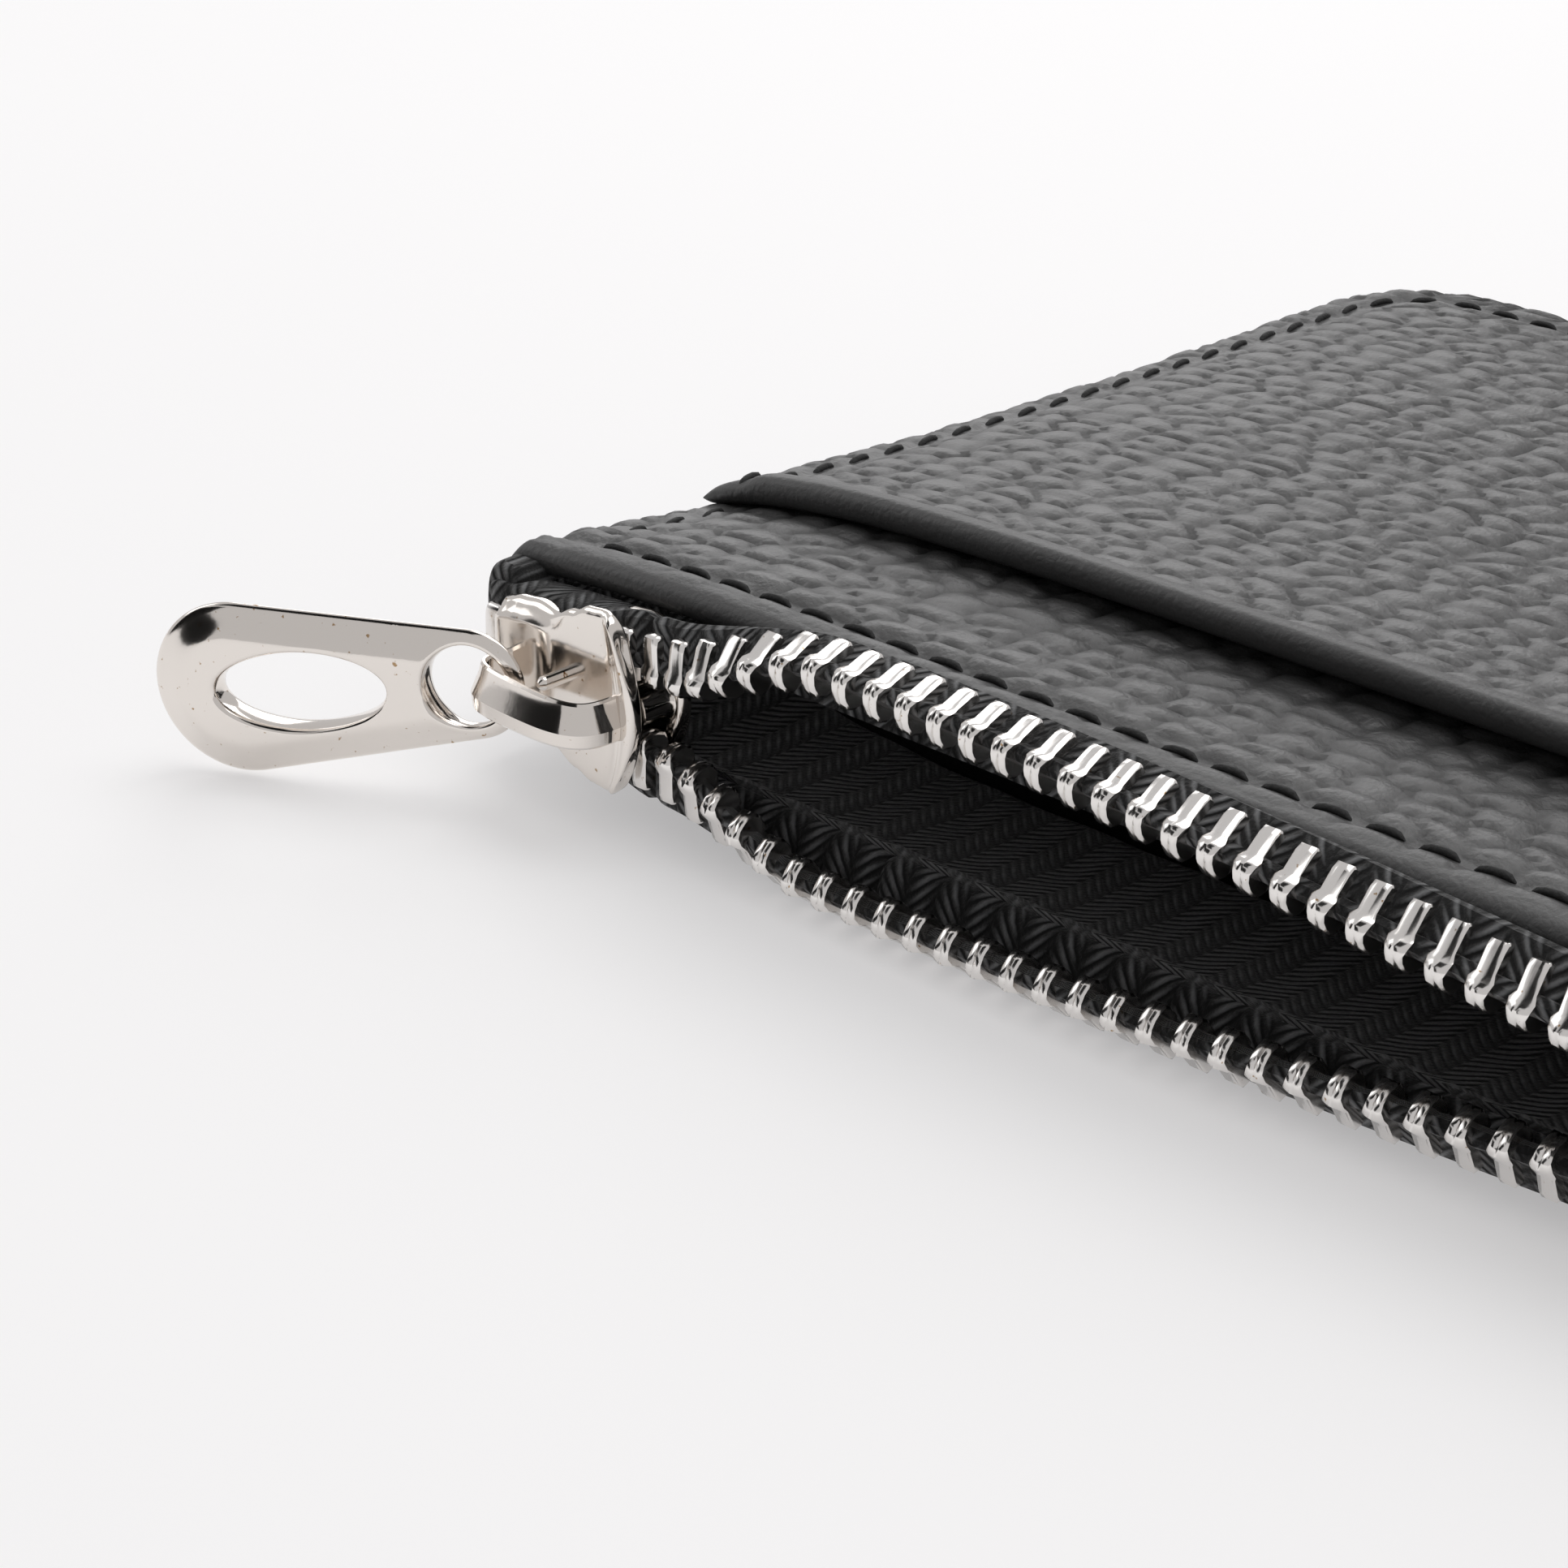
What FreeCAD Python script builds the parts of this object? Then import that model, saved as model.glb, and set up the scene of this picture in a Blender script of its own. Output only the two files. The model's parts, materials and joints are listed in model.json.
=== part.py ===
"""Zipped leather coin purse, lying on its back with the zip drawn open.

X runs along the zip, Y from the zip (low) to the closed far edge (high), Z up.
The origin is on the resting face, under the middle of the purse.
The slider stands at the left end of the zip, so the mouth is open.
"""
import FreeCAD, Part
import math
import os
import Sketcher

Vector = FreeCAD.Vector
doc = FreeCAD.newDocument("CoinPurse")

# Driving dimensions, in millimetres and degrees
SIZES = [
    ("purse_width", 122, "along the zip"),
    ("purse_depth", 82, "zip lip to far edge"),
    ("corner_radius", 9, "far corners"),
    ("leather", 1.1, "leather thickness"),
    ("lining", 0.3, "lining thickness"),
    ("seam_room", 0.95, "room between leather and lining for the zip tape"),
    ("lip_height", 13.6, "top of the upper lip"),
    ("corner_height", 12.4, "top of the lip at its ends"),
    ("far_height", 9.0, "top of the panel before the far seam"),
    ("seam_height", 8.0, "top of the far and side seam"),
    ("seam_stack", 2.8, "leather, linings and leather in the seam"),
    ("corner_gap", 8.0, "gap between the panels at the ends of the zip"),
    ("corner_reach", 0.2, "share of the depth that the corner gap reaches back"),
    ("lip_curl", 1.0, "lift of the lower lip"),
    ("curl_reach", 0.12, "share of the depth that the lower lip's curl reaches back"),
    ("rest_sink", 0.1, "how far the under face is flattened by the table"),
    ("hem_line", -26.8, "place of the pocket's hem across the purse"),
    ("hem_bow", 0.9, "how far the pocket's hem stands open"),
    ("bow_reach", 14, "how far back the hem's bow reaches"),
    ("pocket_leather", 1.0, "pocket leather thickness"),
    ("pocket_gap", 0.06, "from the front panel to the pocket lying on it"),
    ("pocket_inset", 0.1, "pocket's edge, in from the panel's edge"),
    ("lining_inset", 5.0, "lining's edge, in from the panel's edge"),
    ("lining_start", 1.0, "lining's front edge, back from the lip"),
    ("chain_line", -43.1, "place of the zip's plane"),
    ("chain_height", 7.3, "middle of the closed zip"),
    ("chain_half", 2.9, "middle of the chain to the back of a tooth"),
    ("tooth_pitch", 2.1, "from tooth to tooth of one row"),
    ("tooth_leg", 2.3, "tooth leg length"),
    ("leg_width", 0.66, "tooth leg, along the zip"),
    ("tooth_thick", 1.7, "tooth, through the tape"),
    ("tooth_head", 0.5, "radius of the tooth's head"),
    ("tape", 0.5, "tape thickness"),
    ("tape_slack", 0.2, "from the leather to the sewn tape"),
    ("tape_sewn", 7.0, "width of tape sewn in"),
    ("tape_turn", 0.45, "from the lip to the tape hanging in front of it"),
    ("bead", 0.5, "radius of the cord in the tape's edge"),
    ("lift", 1.7, "how far the rows stand apart in the open zip"),
    ("swing_up", 75, "upper row turned out, degrees"),
    ("swing_down", 52, "lower row turned out, degrees"),
    ("row_pivot", 5.2, "middle of the zip to the line a row turns about"),
    ("cord_place", 1.75, "tape's edge cord, along the tooth from its back"),
    ("row_inset", 3.5, "ends of the moving tape and of the stitching, in from the sides"),
    ("first_tooth", 0.6, "first tooth, in from the slider's tail"),
    ("zip_start", -54, "where the rows begin to part"),
    ("zip_open", -47.5, "where the rows leave the slider"),
    ("zip_wide", -34, "where the mouth is widest from"),
    ("zip_wide_end", -31, "where the mouth begins to narrow"),
    ("zip_narrow", 42, "where the rows hang straight again"),
    ("zip_end", 56, "closed end of the zip"),
    ("slider_length", 11, "nose to tail"),
    ("rim_slit", 0.42, "middle of the zip to the outer rims, room for the tape"),
    ("wedge_nose", 1.15, "half width of the wedge at the nose"),
    ("wedge_back", 0.45, "half width of the wedge at its back"),
    ("slider_middle", -52.5, "middle of the slider along the zip"),
    ("plate", 0.85, "slider plate thickness"),
    ("plate_gap", 2.1, "gap between the slider plates"),
    ("plate_nose", 5.3, "half width of the plates at the nose"),
    ("plate_tail", 3.9, "half width of the plates at the tail"),
    ("inner_nose", 4.1, "half width of the inner plate at the nose"),
    ("inner_tail", 3.3, "half width of the inner plate at the tail"),
    ("waist_place", 6.2, "narrow part of the plates, back from the nose"),
    ("tail_bevel", 0.5, "bevel at the tail of the plates"),
    ("rim_long", 3.7, "length of the plates' rims"),
    ("rim_room", 0.25, "from the back of a tooth to the rim"),
    ("arch_rise", 2.5, "clear height under the slider's arch"),
    ("arch_band", 0.9, "arch thickness"),
    ("arch_width", 1.8, "arch, across the zip"),
    ("arch_place", 1.3, "arch's end, back from the nose"),
    ("pull_place", 1.8, "pull's hinge, in from the arch's tail end"),
    ("arch_long", 8.2, "arch, outside length"),
    ("pin_radius", 0.4, "lock pin"),
    ("pin_clearance", 0.06, "lock pin in its hole"),
    ("pin_place", 1.0, "lock pin, up from the middle of the zip"),
    ("pull_head", 5.0, "radius of the pull's wide end"),
    ("pull_ring", 3.2, "radius of the pull's ring end"),
    ("pull_span", 13.6, "centre of the wide end to centre of the ring"),
    ("pull_thick", 1.3, "pull thickness"),
    ("pull_bevel", 0.35, "bevel round the pull's rim"),
    ("ring_band", 0.35, "ring's hinge line, out from the ring's hole"),
    ("hinge_lift", 0.25, "pull's hinge, up from the middle of the zip"),
    ("ring_hole", 2.5, "radius of the ring's hole"),
    ("finger_long", 5.0, "half length of the long hole"),
    ("finger_wide", 2.15, "half width of the long hole"),
    ("finger_place", 9.7, "centre of the long hole from the ring's centre"),
    ("pull_yaw", 28, "pull turned out from the slider's plate, degrees"),
    ("pull_droop", 8, "pull sagging on to the table, degrees"),
    ("stop_wide", 1.4, "stops, along the zip"),
    ("stop_short", 0.2, "box stop's ends, in from the backs of the teeth"),
    ("stop_place", 1.55, "top stop, along the tooth from its back"),
    ("stop_inset", 0.9, "box stop, in from the purse's side"),
    ("fold_in", 0.9, "tape's folded end, in from the purse's side"),
    ("fold_out", 1.0, "tape's folded end, out from the purse's side"),
    ("fold_thick", 1.1, "tape's folded end, through the fold"),
    ("fold_face", 1.9, "front of the tape's folded end, out from the lip"),
    ("fold_room", 0.3, "from the leather to the tape's folded end"),
    ("stitch_sunk", 0.1, "how far the thread sinks into the leather"),
    ("edge_start", 1.6, "first edge stitch, back from the hem"),
    ("stitch_pitch", 3.0, "stitch to stitch"),
    ("stitch_length", 2.2, "thread showing in one stitch"),
    ("thread", 0.45, "thread thickness"),
    ("zip_stitch", 2.9, "stitch line from the lip"),
    ("edge_stitch", 3.0, "stitch line from the side and far edges"),
    ("hem_stitch", 2.6, "stitch line from the hem"),
]
sheet = doc.addObject("Spreadsheet::Sheet", "Sizes")
for row, (alias, number, note) in enumerate(SIZES, start=1):
    sheet.set("A%d" % row, alias)
    sheet.set("B%d" % row, str(number))
    sheet.setAlias("B%d" % row, alias)
    sheet.set("C%d" % row, note)
doc.recompute()


def size(alias):
    """A driving dimension, read back from the sheet."""
    return float(sheet.get(alias))


WIDTH = size("purse_width")
DEPTH = size("purse_depth")
HALF = WIDTH / 2
LIP = -DEPTH / 2
FAR = DEPTH / 2
LEATHER = size("leather")
CHAIN_Y = size("chain_line")
CHAIN_Z = size("chain_height")
PITCH = size("tooth_pitch")
SUBPARTS = []


def keep(obj, label):
    """Give a sub-part its own name and put it on the list to write."""
    obj.Label = label
    SUBPARTS.append(obj)
    return obj


def feature(label, shape):
    """A sub-part whose shape is worked out here from the sheet."""
    obj = doc.addObject("Part::Feature", label)
    obj.Shape = shape
    obj.Placement = FreeCAD.Placement()
    return keep(obj, label)


def smooth(t):
    """0 to 1 in a smooth step."""
    t = min(max(t, 0.0), 1.0)
    return t * t * (3 - 2 * t)


# The shape of the purse: heights of the leather over the table
def across(y):
    """0 at the lip, 1 at the far edge."""
    return min(max((y - LIP) / DEPTH, 0.0), 1.0)


def fullness(x, y):
    """1 inside the purse, falling to 0 at the side and far seams."""
    side = 1 - min(abs(x) / HALF, 1.0) ** 8
    return side * (1 - across(y) ** 10)


def side_top(y):
    """Top of the leather along the side seam."""
    rise = size("corner_height") - size("seam_height")
    return size("seam_height") + rise * (1 - across(y)) ** 3


def top(x, y):
    """Outer face of the front panel."""
    plain = size("lip_height") + (size("far_height") - size("lip_height")) * across(y)
    return side_top(y) + (plain - side_top(y)) * fullness(x, y)


def under(x, y):
    """Outer face of the back panel, flat on the table in the middle."""
    gap = size("corner_gap") * max(0.0, 1 - across(y) / size("corner_reach")) ** 2
    side = side_top(y) - size("seam_stack") - gap
    curl = size("lip_curl") * max(0.0, 1 - across(y) / size("curl_reach")) ** 2
    return side * (1 - fullness(x, y)) + curl * fullness(x, y) - size("rest_sink")


def pocket_under(x, y):
    """Underside of the card pocket, which stands open a little at its hem."""
    back = max(0.0, 1 - (y - size("hem_line")) / size("bow_reach")) ** 2
    bow = size("hem_bow") * (1 - (x / HALF) ** 2) * back
    return top(x, y) + size("pocket_gap") + max(bow, 0.0)


def spread(start, stop, count):
    """Evenly spaced stations, both ends included."""
    return [start + (stop - start) * i / (count - 1) for i in range(count)]


def outline(inset, front, radius):
    """Flat outline of a panel: square at the zip, round at the far corners."""
    x = HALF - inset
    y = FAR - inset
    bend = radius * (1 - math.sqrt(0.5))
    corners = [
        Vector(-x, front, 0), Vector(x, front, 0),
        Vector(x, y - radius, 0), Vector(x - bend, y - bend, 0), Vector(x - radius, y, 0),
        Vector(radius - x, y, 0), Vector(bend - x, y - bend, 0), Vector(-x, y - radius, 0),
    ]
    edges = [
        Part.makeLine(corners[0], corners[1]),
        Part.makeLine(corners[1], corners[2]),
        Part.Arc(corners[2], corners[3], corners[4]).toShape(),
        Part.makeLine(corners[4], corners[5]),
        Part.Arc(corners[5], corners[6], corners[7]).toShape(),
        Part.makeLine(corners[7], corners[0]),
    ]
    return Part.Wire(edges)


def panel(height, thick, inset, front, radius):
    """A curved sheet: a smooth surface given thickness and cut to its outline."""
    margin = 2.0
    xs = spread(-HALF - margin, HALF + margin, 29)
    ys = spread(front - margin, FAR + margin, 21)
    grid = [[Vector(x, y, height(x, y)) for y in ys] for x in xs]
    surface = Part.BSplineSurface()
    surface.interpolate(grid)
    slab = surface.toShape().extrude(Vector(0, 0, thick))
    cutter = Part.Face(outline(inset, front, radius))
    block = cutter.extrude(Vector(0, 0, 3 * size("lip_height")))
    return slab.common(block).Solids[0]


def make_leather():
    """Front and back panels, the card pocket and the two linings."""
    corner = size("corner_radius")
    room = size("seam_room")
    lining = size("lining")
    front = panel(lambda x, y: top(x, y) - LEATHER, LEATHER, 0, LIP, corner)
    feature("front_panel", front)
    feature("back_panel", panel(under, LEATHER, 0, LIP, corner))

    inset = size("pocket_inset")
    thick = size("pocket_leather")
    feature("card_pocket", panel(pocket_under, thick, inset, size("hem_line"), corner - inset))
    inset = size("lining_inset")
    front_edge = LIP + size("lining_start")
    drop = LEATHER + room + lining
    upper = panel(lambda x, y: top(x, y) - drop, lining, inset, front_edge, corner - inset)
    feature("front_lining", upper)
    rise = LEATHER + room
    lower = panel(lambda x, y: under(x, y) + rise, lining, inset, front_edge, corner - inset)
    feature("back_lining", lower)


# The zip: closed rows hang straight, open rows are lifted apart and turned outwards
def lift_share(x):
    opening = smooth((x - size("zip_start")) / (size("zip_open") - size("zip_start")))
    closing = smooth((x - size("zip_narrow")) / (size("zip_end") - 2 - size("zip_narrow")))
    return opening * (1 - closing)


def swing_share(x):
    opening = smooth((x - size("zip_open")) / (size("zip_wide") - size("zip_open")))
    run = size("zip_narrow") - size("zip_wide_end")
    return opening * (1 - smooth((x - size("zip_wide_end")) / run))


def row_point(x, along, out, side):
    """A point of a row: along the tooth from its back end, and out of the tape's face.

    side is +1 for the upper row and -1 for the lower one.
    """
    turn = math.radians(size("swing_up") if side > 0 else size("swing_down"))
    turn *= swing_share(x)
    dy = CHAIN_Y - out - LIP
    dz = size("chain_half") - along + size("lift") * lift_share(x) - size("row_pivot")
    turned_y = dy * math.cos(turn) + dz * math.sin(turn)
    turned_z = -dy * math.sin(turn) + dz * math.cos(turn)
    return Vector(x, LIP + turned_y, CHAIN_Z + side * (size("row_pivot") + turned_z))


def tape_section(x, side):
    """Closed outline of the tape at one station, from the sewn edge to the bead."""
    half = size("tape") / 2
    sewn = []
    for y in (LIP + size("tape_sewn"), LIP + size("tape_sewn") / 2, LIP - size("tape_turn")):
        if side > 0:
            z = top(x, y) - LEATHER - size("tape_slack") - half
        else:
            z = under(x, y) + LEATHER + size("tape_slack") + half
        sewn.append(Vector(x, y, z))
    middle = sewn + [row_point(x, along, 0.0, side) for along in (-0.65, 0.0, 1.5)]
    left = []
    right = []
    for i, point in enumerate(middle):
        before = middle[max(i - 1, 0)]
        after = middle[min(i + 1, len(middle) - 1)]
        run = after - before
        normal = Vector(0, -run.z, run.y).normalize() * half
        left.append(point + normal)
        right.append(point - normal)
    loop = left + right[::-1]
    return Part.makePolygon(loop + [loop[0]])


def row_frame(x, side):
    """Placement that takes a tooth drawn along +X (length), Y (zip), Z (thickness) to its row."""
    back = row_point(x, 0.0, 0.0, side)
    front = row_point(x, 1.0, 0.0, side)
    length = (front - back).normalize()
    along_zip = Vector(1, 0, 0)
    thick = length.cross(along_zip).normalize()
    matrix = FreeCAD.Matrix(
        length.x, along_zip.x, thick.x, back.x,
        length.y, along_zip.y, thick.y, back.y,
        length.z, along_zip.z, thick.z, back.z,
        0, 0, 0, 1,
    )
    return FreeCAD.Placement(matrix)


def tooth():
    """One tooth: a flat leg that grips the tape and a round head."""
    leg = size("tooth_leg")
    width = size("leg_width")
    thick = size("tooth_thick")
    legs = Part.makeBox(leg, width, thick, Vector(0, -width / 2, -thick / 2))
    middle = Vector(leg + size("tooth_head") * 0.7, 0, -thick / 2)
    head = Part.makeCylinder(size("tooth_head"), thick, middle)
    return legs.fuse(head).removeSplitter()


def make_rows():
    """Both tapes, their edge cords and the two rows of teeth."""
    end = HALF - size("row_inset")
    stations = spread(-end, end, 60)
    zip_first = size("slider_middle") - size("slider_length") / 2 + size("first_tooth")
    count = int((size("zip_end") - size("row_inset") - zip_first) / PITCH)
    pattern = tooth()
    for side, name in ((1, "upper"), (-1, "lower")):
        wires = [tape_section(x, side) for x in stations]
        feature(name + "_tape", Part.makeLoft(wires, True, True))
        rings = []
        for x in spread(zip_first - 1, size("zip_end") - 2.9, 56):
            middle = row_point(x, size("cord_place"), 0.0, side)
            ring = []
            for i in range(8):
                angle = math.radians(45 * i + 22.5)
                spoke = Vector(0, math.cos(angle), math.sin(angle)) * size("bead")
                ring.append(middle + spoke)
            rings.append(Part.makePolygon(ring + [ring[0]]))
        feature(name + "_edge_cord", Part.makeLoft(rings, True, True))
        shift = 0.0 if side > 0 else PITCH / 2
        teeth = []
        for i in range(count):
            one = pattern.copy()
            one.Placement = row_frame(zip_first + shift + i * PITCH, side)
            teeth.append(one)
        feature(name + "_teeth", Part.makeCompound(teeth))


def origin_plane(body, role):
    for item in body.Origin.OriginFeatures:
        if item.Role == role:
            return item
    raise RuntimeError("no plane " + role)


def new_sketch(body, name, role, height=""):
    """A sketch on one of its body's origin planes, raised by an expression."""
    sketch = body.newObject("Sketcher::SketchObject", name)
    sketch.AttachmentSupport = (origin_plane(body, role), [""])
    sketch.MapMode = "FlatFace"
    if height:
        sketch.setExpression("AttachmentOffset.Base.z", height)
    return sketch


def polygon_sketch(sketch, points):
    """Straight outline with every corner held by two expressions, x and y from the origin."""
    values = [[float(sheet.evalExpression(text)) for text in point] for point in points]
    count = len(points)
    for i in range(count):
        a = Vector(values[i][0], values[i][1], 0)
        b = Vector(values[(i + 1) % count][0], values[(i + 1) % count][1], 0)
        sketch.addGeometry(Part.LineSegment(a, b))
    for i in range(count):
        sketch.addConstraint(Sketcher.Constraint("Coincident", i, 2, (i + 1) % count, 1))
    for i, point in enumerate(points):
        for kind, text, value in zip(("DistanceX", "DistanceY"), point, values[i]):
            index = sketch.addConstraint(Sketcher.Constraint(kind, -1, 1, i, 1, value))
            sketch.setExpression("Constraints[%d]" % index, text)


def add_pad(body, sketch, length, midplane=False):
    pad = body.newObject("PartDesign::Pad", sketch.Name + "_pad")
    pad.Profile = sketch
    pad.setExpression("Length", length)
    pad.Midplane = midplane
    sketch.Visibility = False
    return pad


def half_outline(points):
    """A symmetric outline from its upper half, given from nose to tail."""
    lower = [(x, "-(" + y + ")") for x, y in reversed(points)]
    return points + lower


# Nose of a slider plate: distance back from the nose, and distance in from the full half width
NOSE_STEPS = (("0", "1.9"), ("0.9", "0.4"), ("1.9", "0"), ("3.4", "0.2"))


def make_slider_body():
    """Two plates joined by the wedge between the rows, with rims that guide the rows.

    Drawn flat: X towards the nose, Y up the zip's height, Z out of the purse.
    """
    body = doc.addObject("PartDesign::Body", "SliderBody")
    nose = "Sizes.slider_length / 2"
    tail = "-Sizes.slider_length / 2"
    gap = "Sizes.plate_gap / 2"

    wedge = new_sketch(body, "wedge", "XY_Plane")
    polygon_sketch(wedge, [
        (nose + " - 0.3", "Sizes.wedge_nose"), (nose + " - 2.9", "Sizes.wedge_back"),
        (nose + " - 2.9", "-Sizes.wedge_back"), (nose + " - 0.3", "-Sizes.wedge_nose"),
    ])
    add_pad(body, wedge, "Sizes.plate_gap + Sizes.plate", midplane=True)

    plates = (
        ("outer_plate", gap, "Sizes.plate_nose", "Sizes.plate_tail"),
        ("inner_plate", "-" + gap + " - Sizes.plate", "Sizes.inner_nose", "Sizes.inner_tail"),
    )
    for name, height, wide, narrow in plates:
        sketch = new_sketch(body, name, "XY_Plane", height)
        front = [(nose + " - " + back, wide + " - " + less) for back, less in NOSE_STEPS]
        waist = nose + " - Sizes.waist_place"
        bevel = "Sizes.tail_bevel"
        polygon_sketch(sketch, half_outline(front + [
            (waist, narrow), (tail + " + " + bevel, narrow), (tail, narrow + " - " + bevel),
        ]))
        add_pad(body, sketch, "Sizes.plate")

    tape_slit = "Sizes.rim_slit"
    for hand, sign in (("left", ""), ("right", "-")):
        for name, height, edge in (("outer", tape_slit, "plate_tail"), ("inner", "-" + gap, "inner_tail")):
            rim = new_sketch(body, name + "_rim_" + hand, "XY_Plane", height)
            inner = sign + "(Sizes.chain_half + Sizes.rim_room)"
            outer = sign + "(Sizes." + edge + ")"
            back = tail + " + Sizes.tail_bevel"
            front = back + " + Sizes.rim_long"
            polygon_sketch(rim, [(back, inner), (front, inner), (front, outer), (back, outer)])
            add_pad(body, rim, gap + " - " + tape_slit)
    doc.recompute()
    solid_volume = body.Shape.Volume

    hole = new_sketch(body, "pin_hole", "XY_Plane", gap + " - 0.2")
    circle = Part.Circle(Vector(0, size("pin_place"), 0), Vector(0, 0, 1), size("pin_radius"))
    hole.addGeometry(circle)
    radius = hole.addConstraint(Sketcher.Constraint("Radius", 0, size("pin_radius")))
    hole.setExpression("Constraints[%d]" % radius, "Sizes.pin_radius + Sizes.pin_clearance")
    hole.addConstraint(Sketcher.Constraint("DistanceX", -1, 1, 0, 3, 0.0))
    place = hole.addConstraint(Sketcher.Constraint("DistanceY", -1, 1, 0, 3, size("pin_place")))
    hole.setExpression("Constraints[%d]" % place, "Sizes.pin_place")
    cut = body.newObject("PartDesign::Pocket", "pin_pocket")
    cut.Profile = hole
    cut.setExpression("Length", "Sizes.plate + 0.4")
    cut.Reversed = True
    body.Tip = cut
    doc.recompute()
    if not cut.Shape.Volume < solid_volume - 0.2:
        raise RuntimeError("the pin hole cuts nothing")
    return body


def make_arch():
    """Bridge over the outer plate, which the pull's ring goes round."""
    body = doc.addObject("PartDesign::Body", "SliderArch")
    side = new_sketch(body, "arch_side", "XZ_Plane")
    base = "Sizes.plate_gap / 2 + Sizes.plate + 0.01"
    clear = base + " + Sizes.arch_rise"
    crown = clear + " + Sizes.arch_band"
    nose = "Sizes.slider_length / 2 - Sizes.arch_place"
    tail = nose + " - Sizes.arch_long"
    polygon_sketch(side, [
        (nose, base), (nose, clear + " - 0.3"), (nose + " - 1.1", crown),
        (tail + " + 1.0", crown), (tail, clear + " - 0.1"), (tail, base),
        (tail + " + 0.8", base), (tail + " + 0.8", clear + " - 0.4"),
        (tail + " + 1.3", clear), (nose + " - 1.9", clear),
        (nose + " - 1.4", clear + " - 0.6"), (nose + " - 1.4", base),
    ])
    add_pad(body, side, "Sizes.arch_width", midplane=True)
    return body


def slider_placement():
    """Turns the slider's own frame so that its outer face looks out of the purse."""
    spot = Vector(size("slider_middle"), CHAIN_Y, CHAIN_Z)
    return FreeCAD.Placement(spot, FreeCAD.Rotation(Vector(1, 0, 0), 90))


def make_lock_pin():
    """Spring pin through the outer plate, which catches between two teeth."""
    pin = doc.addObject("Part::Cylinder", "LockPin")
    pin.setExpression("Radius", "Sizes.pin_radius")
    pin.setExpression("Height", "Sizes.plate + 1.9")
    offset = Vector(0, size("pin_place"), size("plate_gap") / 2 - 0.1)
    pin.Placement = slider_placement().multiply(FreeCAD.Placement(offset, FreeCAD.Rotation()))
    return pin


def make_pull():
    """Teardrop pull with a round hole at its narrow end and a long one for the finger.

    Drawn flat: the ring's centre at the origin, the wide end along +X.
    """
    ring = size("pull_ring")
    head = size("pull_head")
    span = size("pull_span")
    lean = (head - ring) / span
    across_lean = math.sqrt(1 - lean * lean)
    body = doc.addObject("PartDesign::Body", "PullBlank")
    sketch = new_sketch(body, "pull_outline", "XY_Plane")
    ring_top = Vector(-lean * ring, across_lean * ring, 0)
    ring_low = Vector(-lean * ring, -across_lean * ring, 0)
    head_top = Vector(span - lean * head, across_lean * head, 0)
    head_low = Vector(span - lean * head, -across_lean * head, 0)
    sketch.addGeometry(Part.Arc(ring_top, Vector(-ring, 0, 0), ring_low))
    sketch.addGeometry(Part.LineSegment(ring_low, head_low))
    sketch.addGeometry(Part.Arc(head_low, Vector(span + head, 0, 0), head_top))
    sketch.addGeometry(Part.LineSegment(head_top, ring_top))
    sketch.addConstraint(Sketcher.Constraint("Tangent", 0, 2, 1, 1))
    sketch.addConstraint(Sketcher.Constraint("Tangent", 1, 2, 2, 1))
    sketch.addConstraint(Sketcher.Constraint("Tangent", 2, 2, 3, 1))
    sketch.addConstraint(Sketcher.Constraint("Tangent", 3, 2, 0, 1))
    sketch.addConstraint(Sketcher.Constraint("Coincident", 0, 3, -1, 1))
    sketch.addConstraint(Sketcher.Constraint("PointOnObject", 2, 3, -1))
    for kind, place, value, text in (
        ("Radius", (0,), ring, "Sizes.pull_ring"),
        ("Radius", (2,), head, "Sizes.pull_head"),
        ("DistanceX", (0, 3, 2, 3), span, "Sizes.pull_span"),
    ):
        index = sketch.addConstraint(Sketcher.Constraint(kind, *place, value))
        sketch.setExpression("Constraints[%d]" % index, text)
    blank_pad = add_pad(body, sketch, "Sizes.pull_thick", midplane=True)
    doc.recompute()
    rim = body.newObject("PartDesign::Chamfer", "pull_bevel")
    edges = []
    for i, edge in enumerate(blank_pad.Shape.Edges, start=1):
        level = abs(edge.CenterOfMass.z) > size("pull_thick") / 2 - 0.01
        if level:
            edges.append("Edge%d" % i)
    rim.Base = (blank_pad, edges)
    rim.setExpression("Size", "Sizes.pull_bevel")
    body.Tip = rim

    ring_hole = doc.addObject("Part::Cylinder", "RingHole")
    ring_hole.setExpression("Radius", "Sizes.ring_hole")
    ring_hole.setExpression("Height", "Sizes.pull_thick + 2")
    ring_hole.setExpression("Placement.Base.z", "-Sizes.pull_thick / 2 - 1")
    oval = doc.addObject("Part::Ellipse", "FingerOval")
    oval.setExpression("MajorRadius", "Sizes.finger_long")
    oval.setExpression("MinorRadius", "Sizes.finger_wide")
    oval.setExpression("Placement.Base.x", "Sizes.finger_place")
    oval.setExpression("Placement.Base.z", "-Sizes.pull_thick / 2 - 1")
    finger = doc.addObject("Part::Extrusion", "FingerHole")
    finger.Base = oval
    finger.DirMode = "Custom"
    finger.Dir = Vector(0, 0, 1)
    finger.setExpression("LengthFwd", "Sizes.pull_thick + 2")
    finger.Solid = True
    holes = doc.addObject("Part::Fuse", "PullHoles")
    holes.Base = ring_hole
    holes.Tool = finger
    pull = doc.addObject("Part::Cut", "PullTab")
    pull.Base = body
    pull.Tool = holes
    pull.Placement = pull_placement()
    return pull


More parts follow.
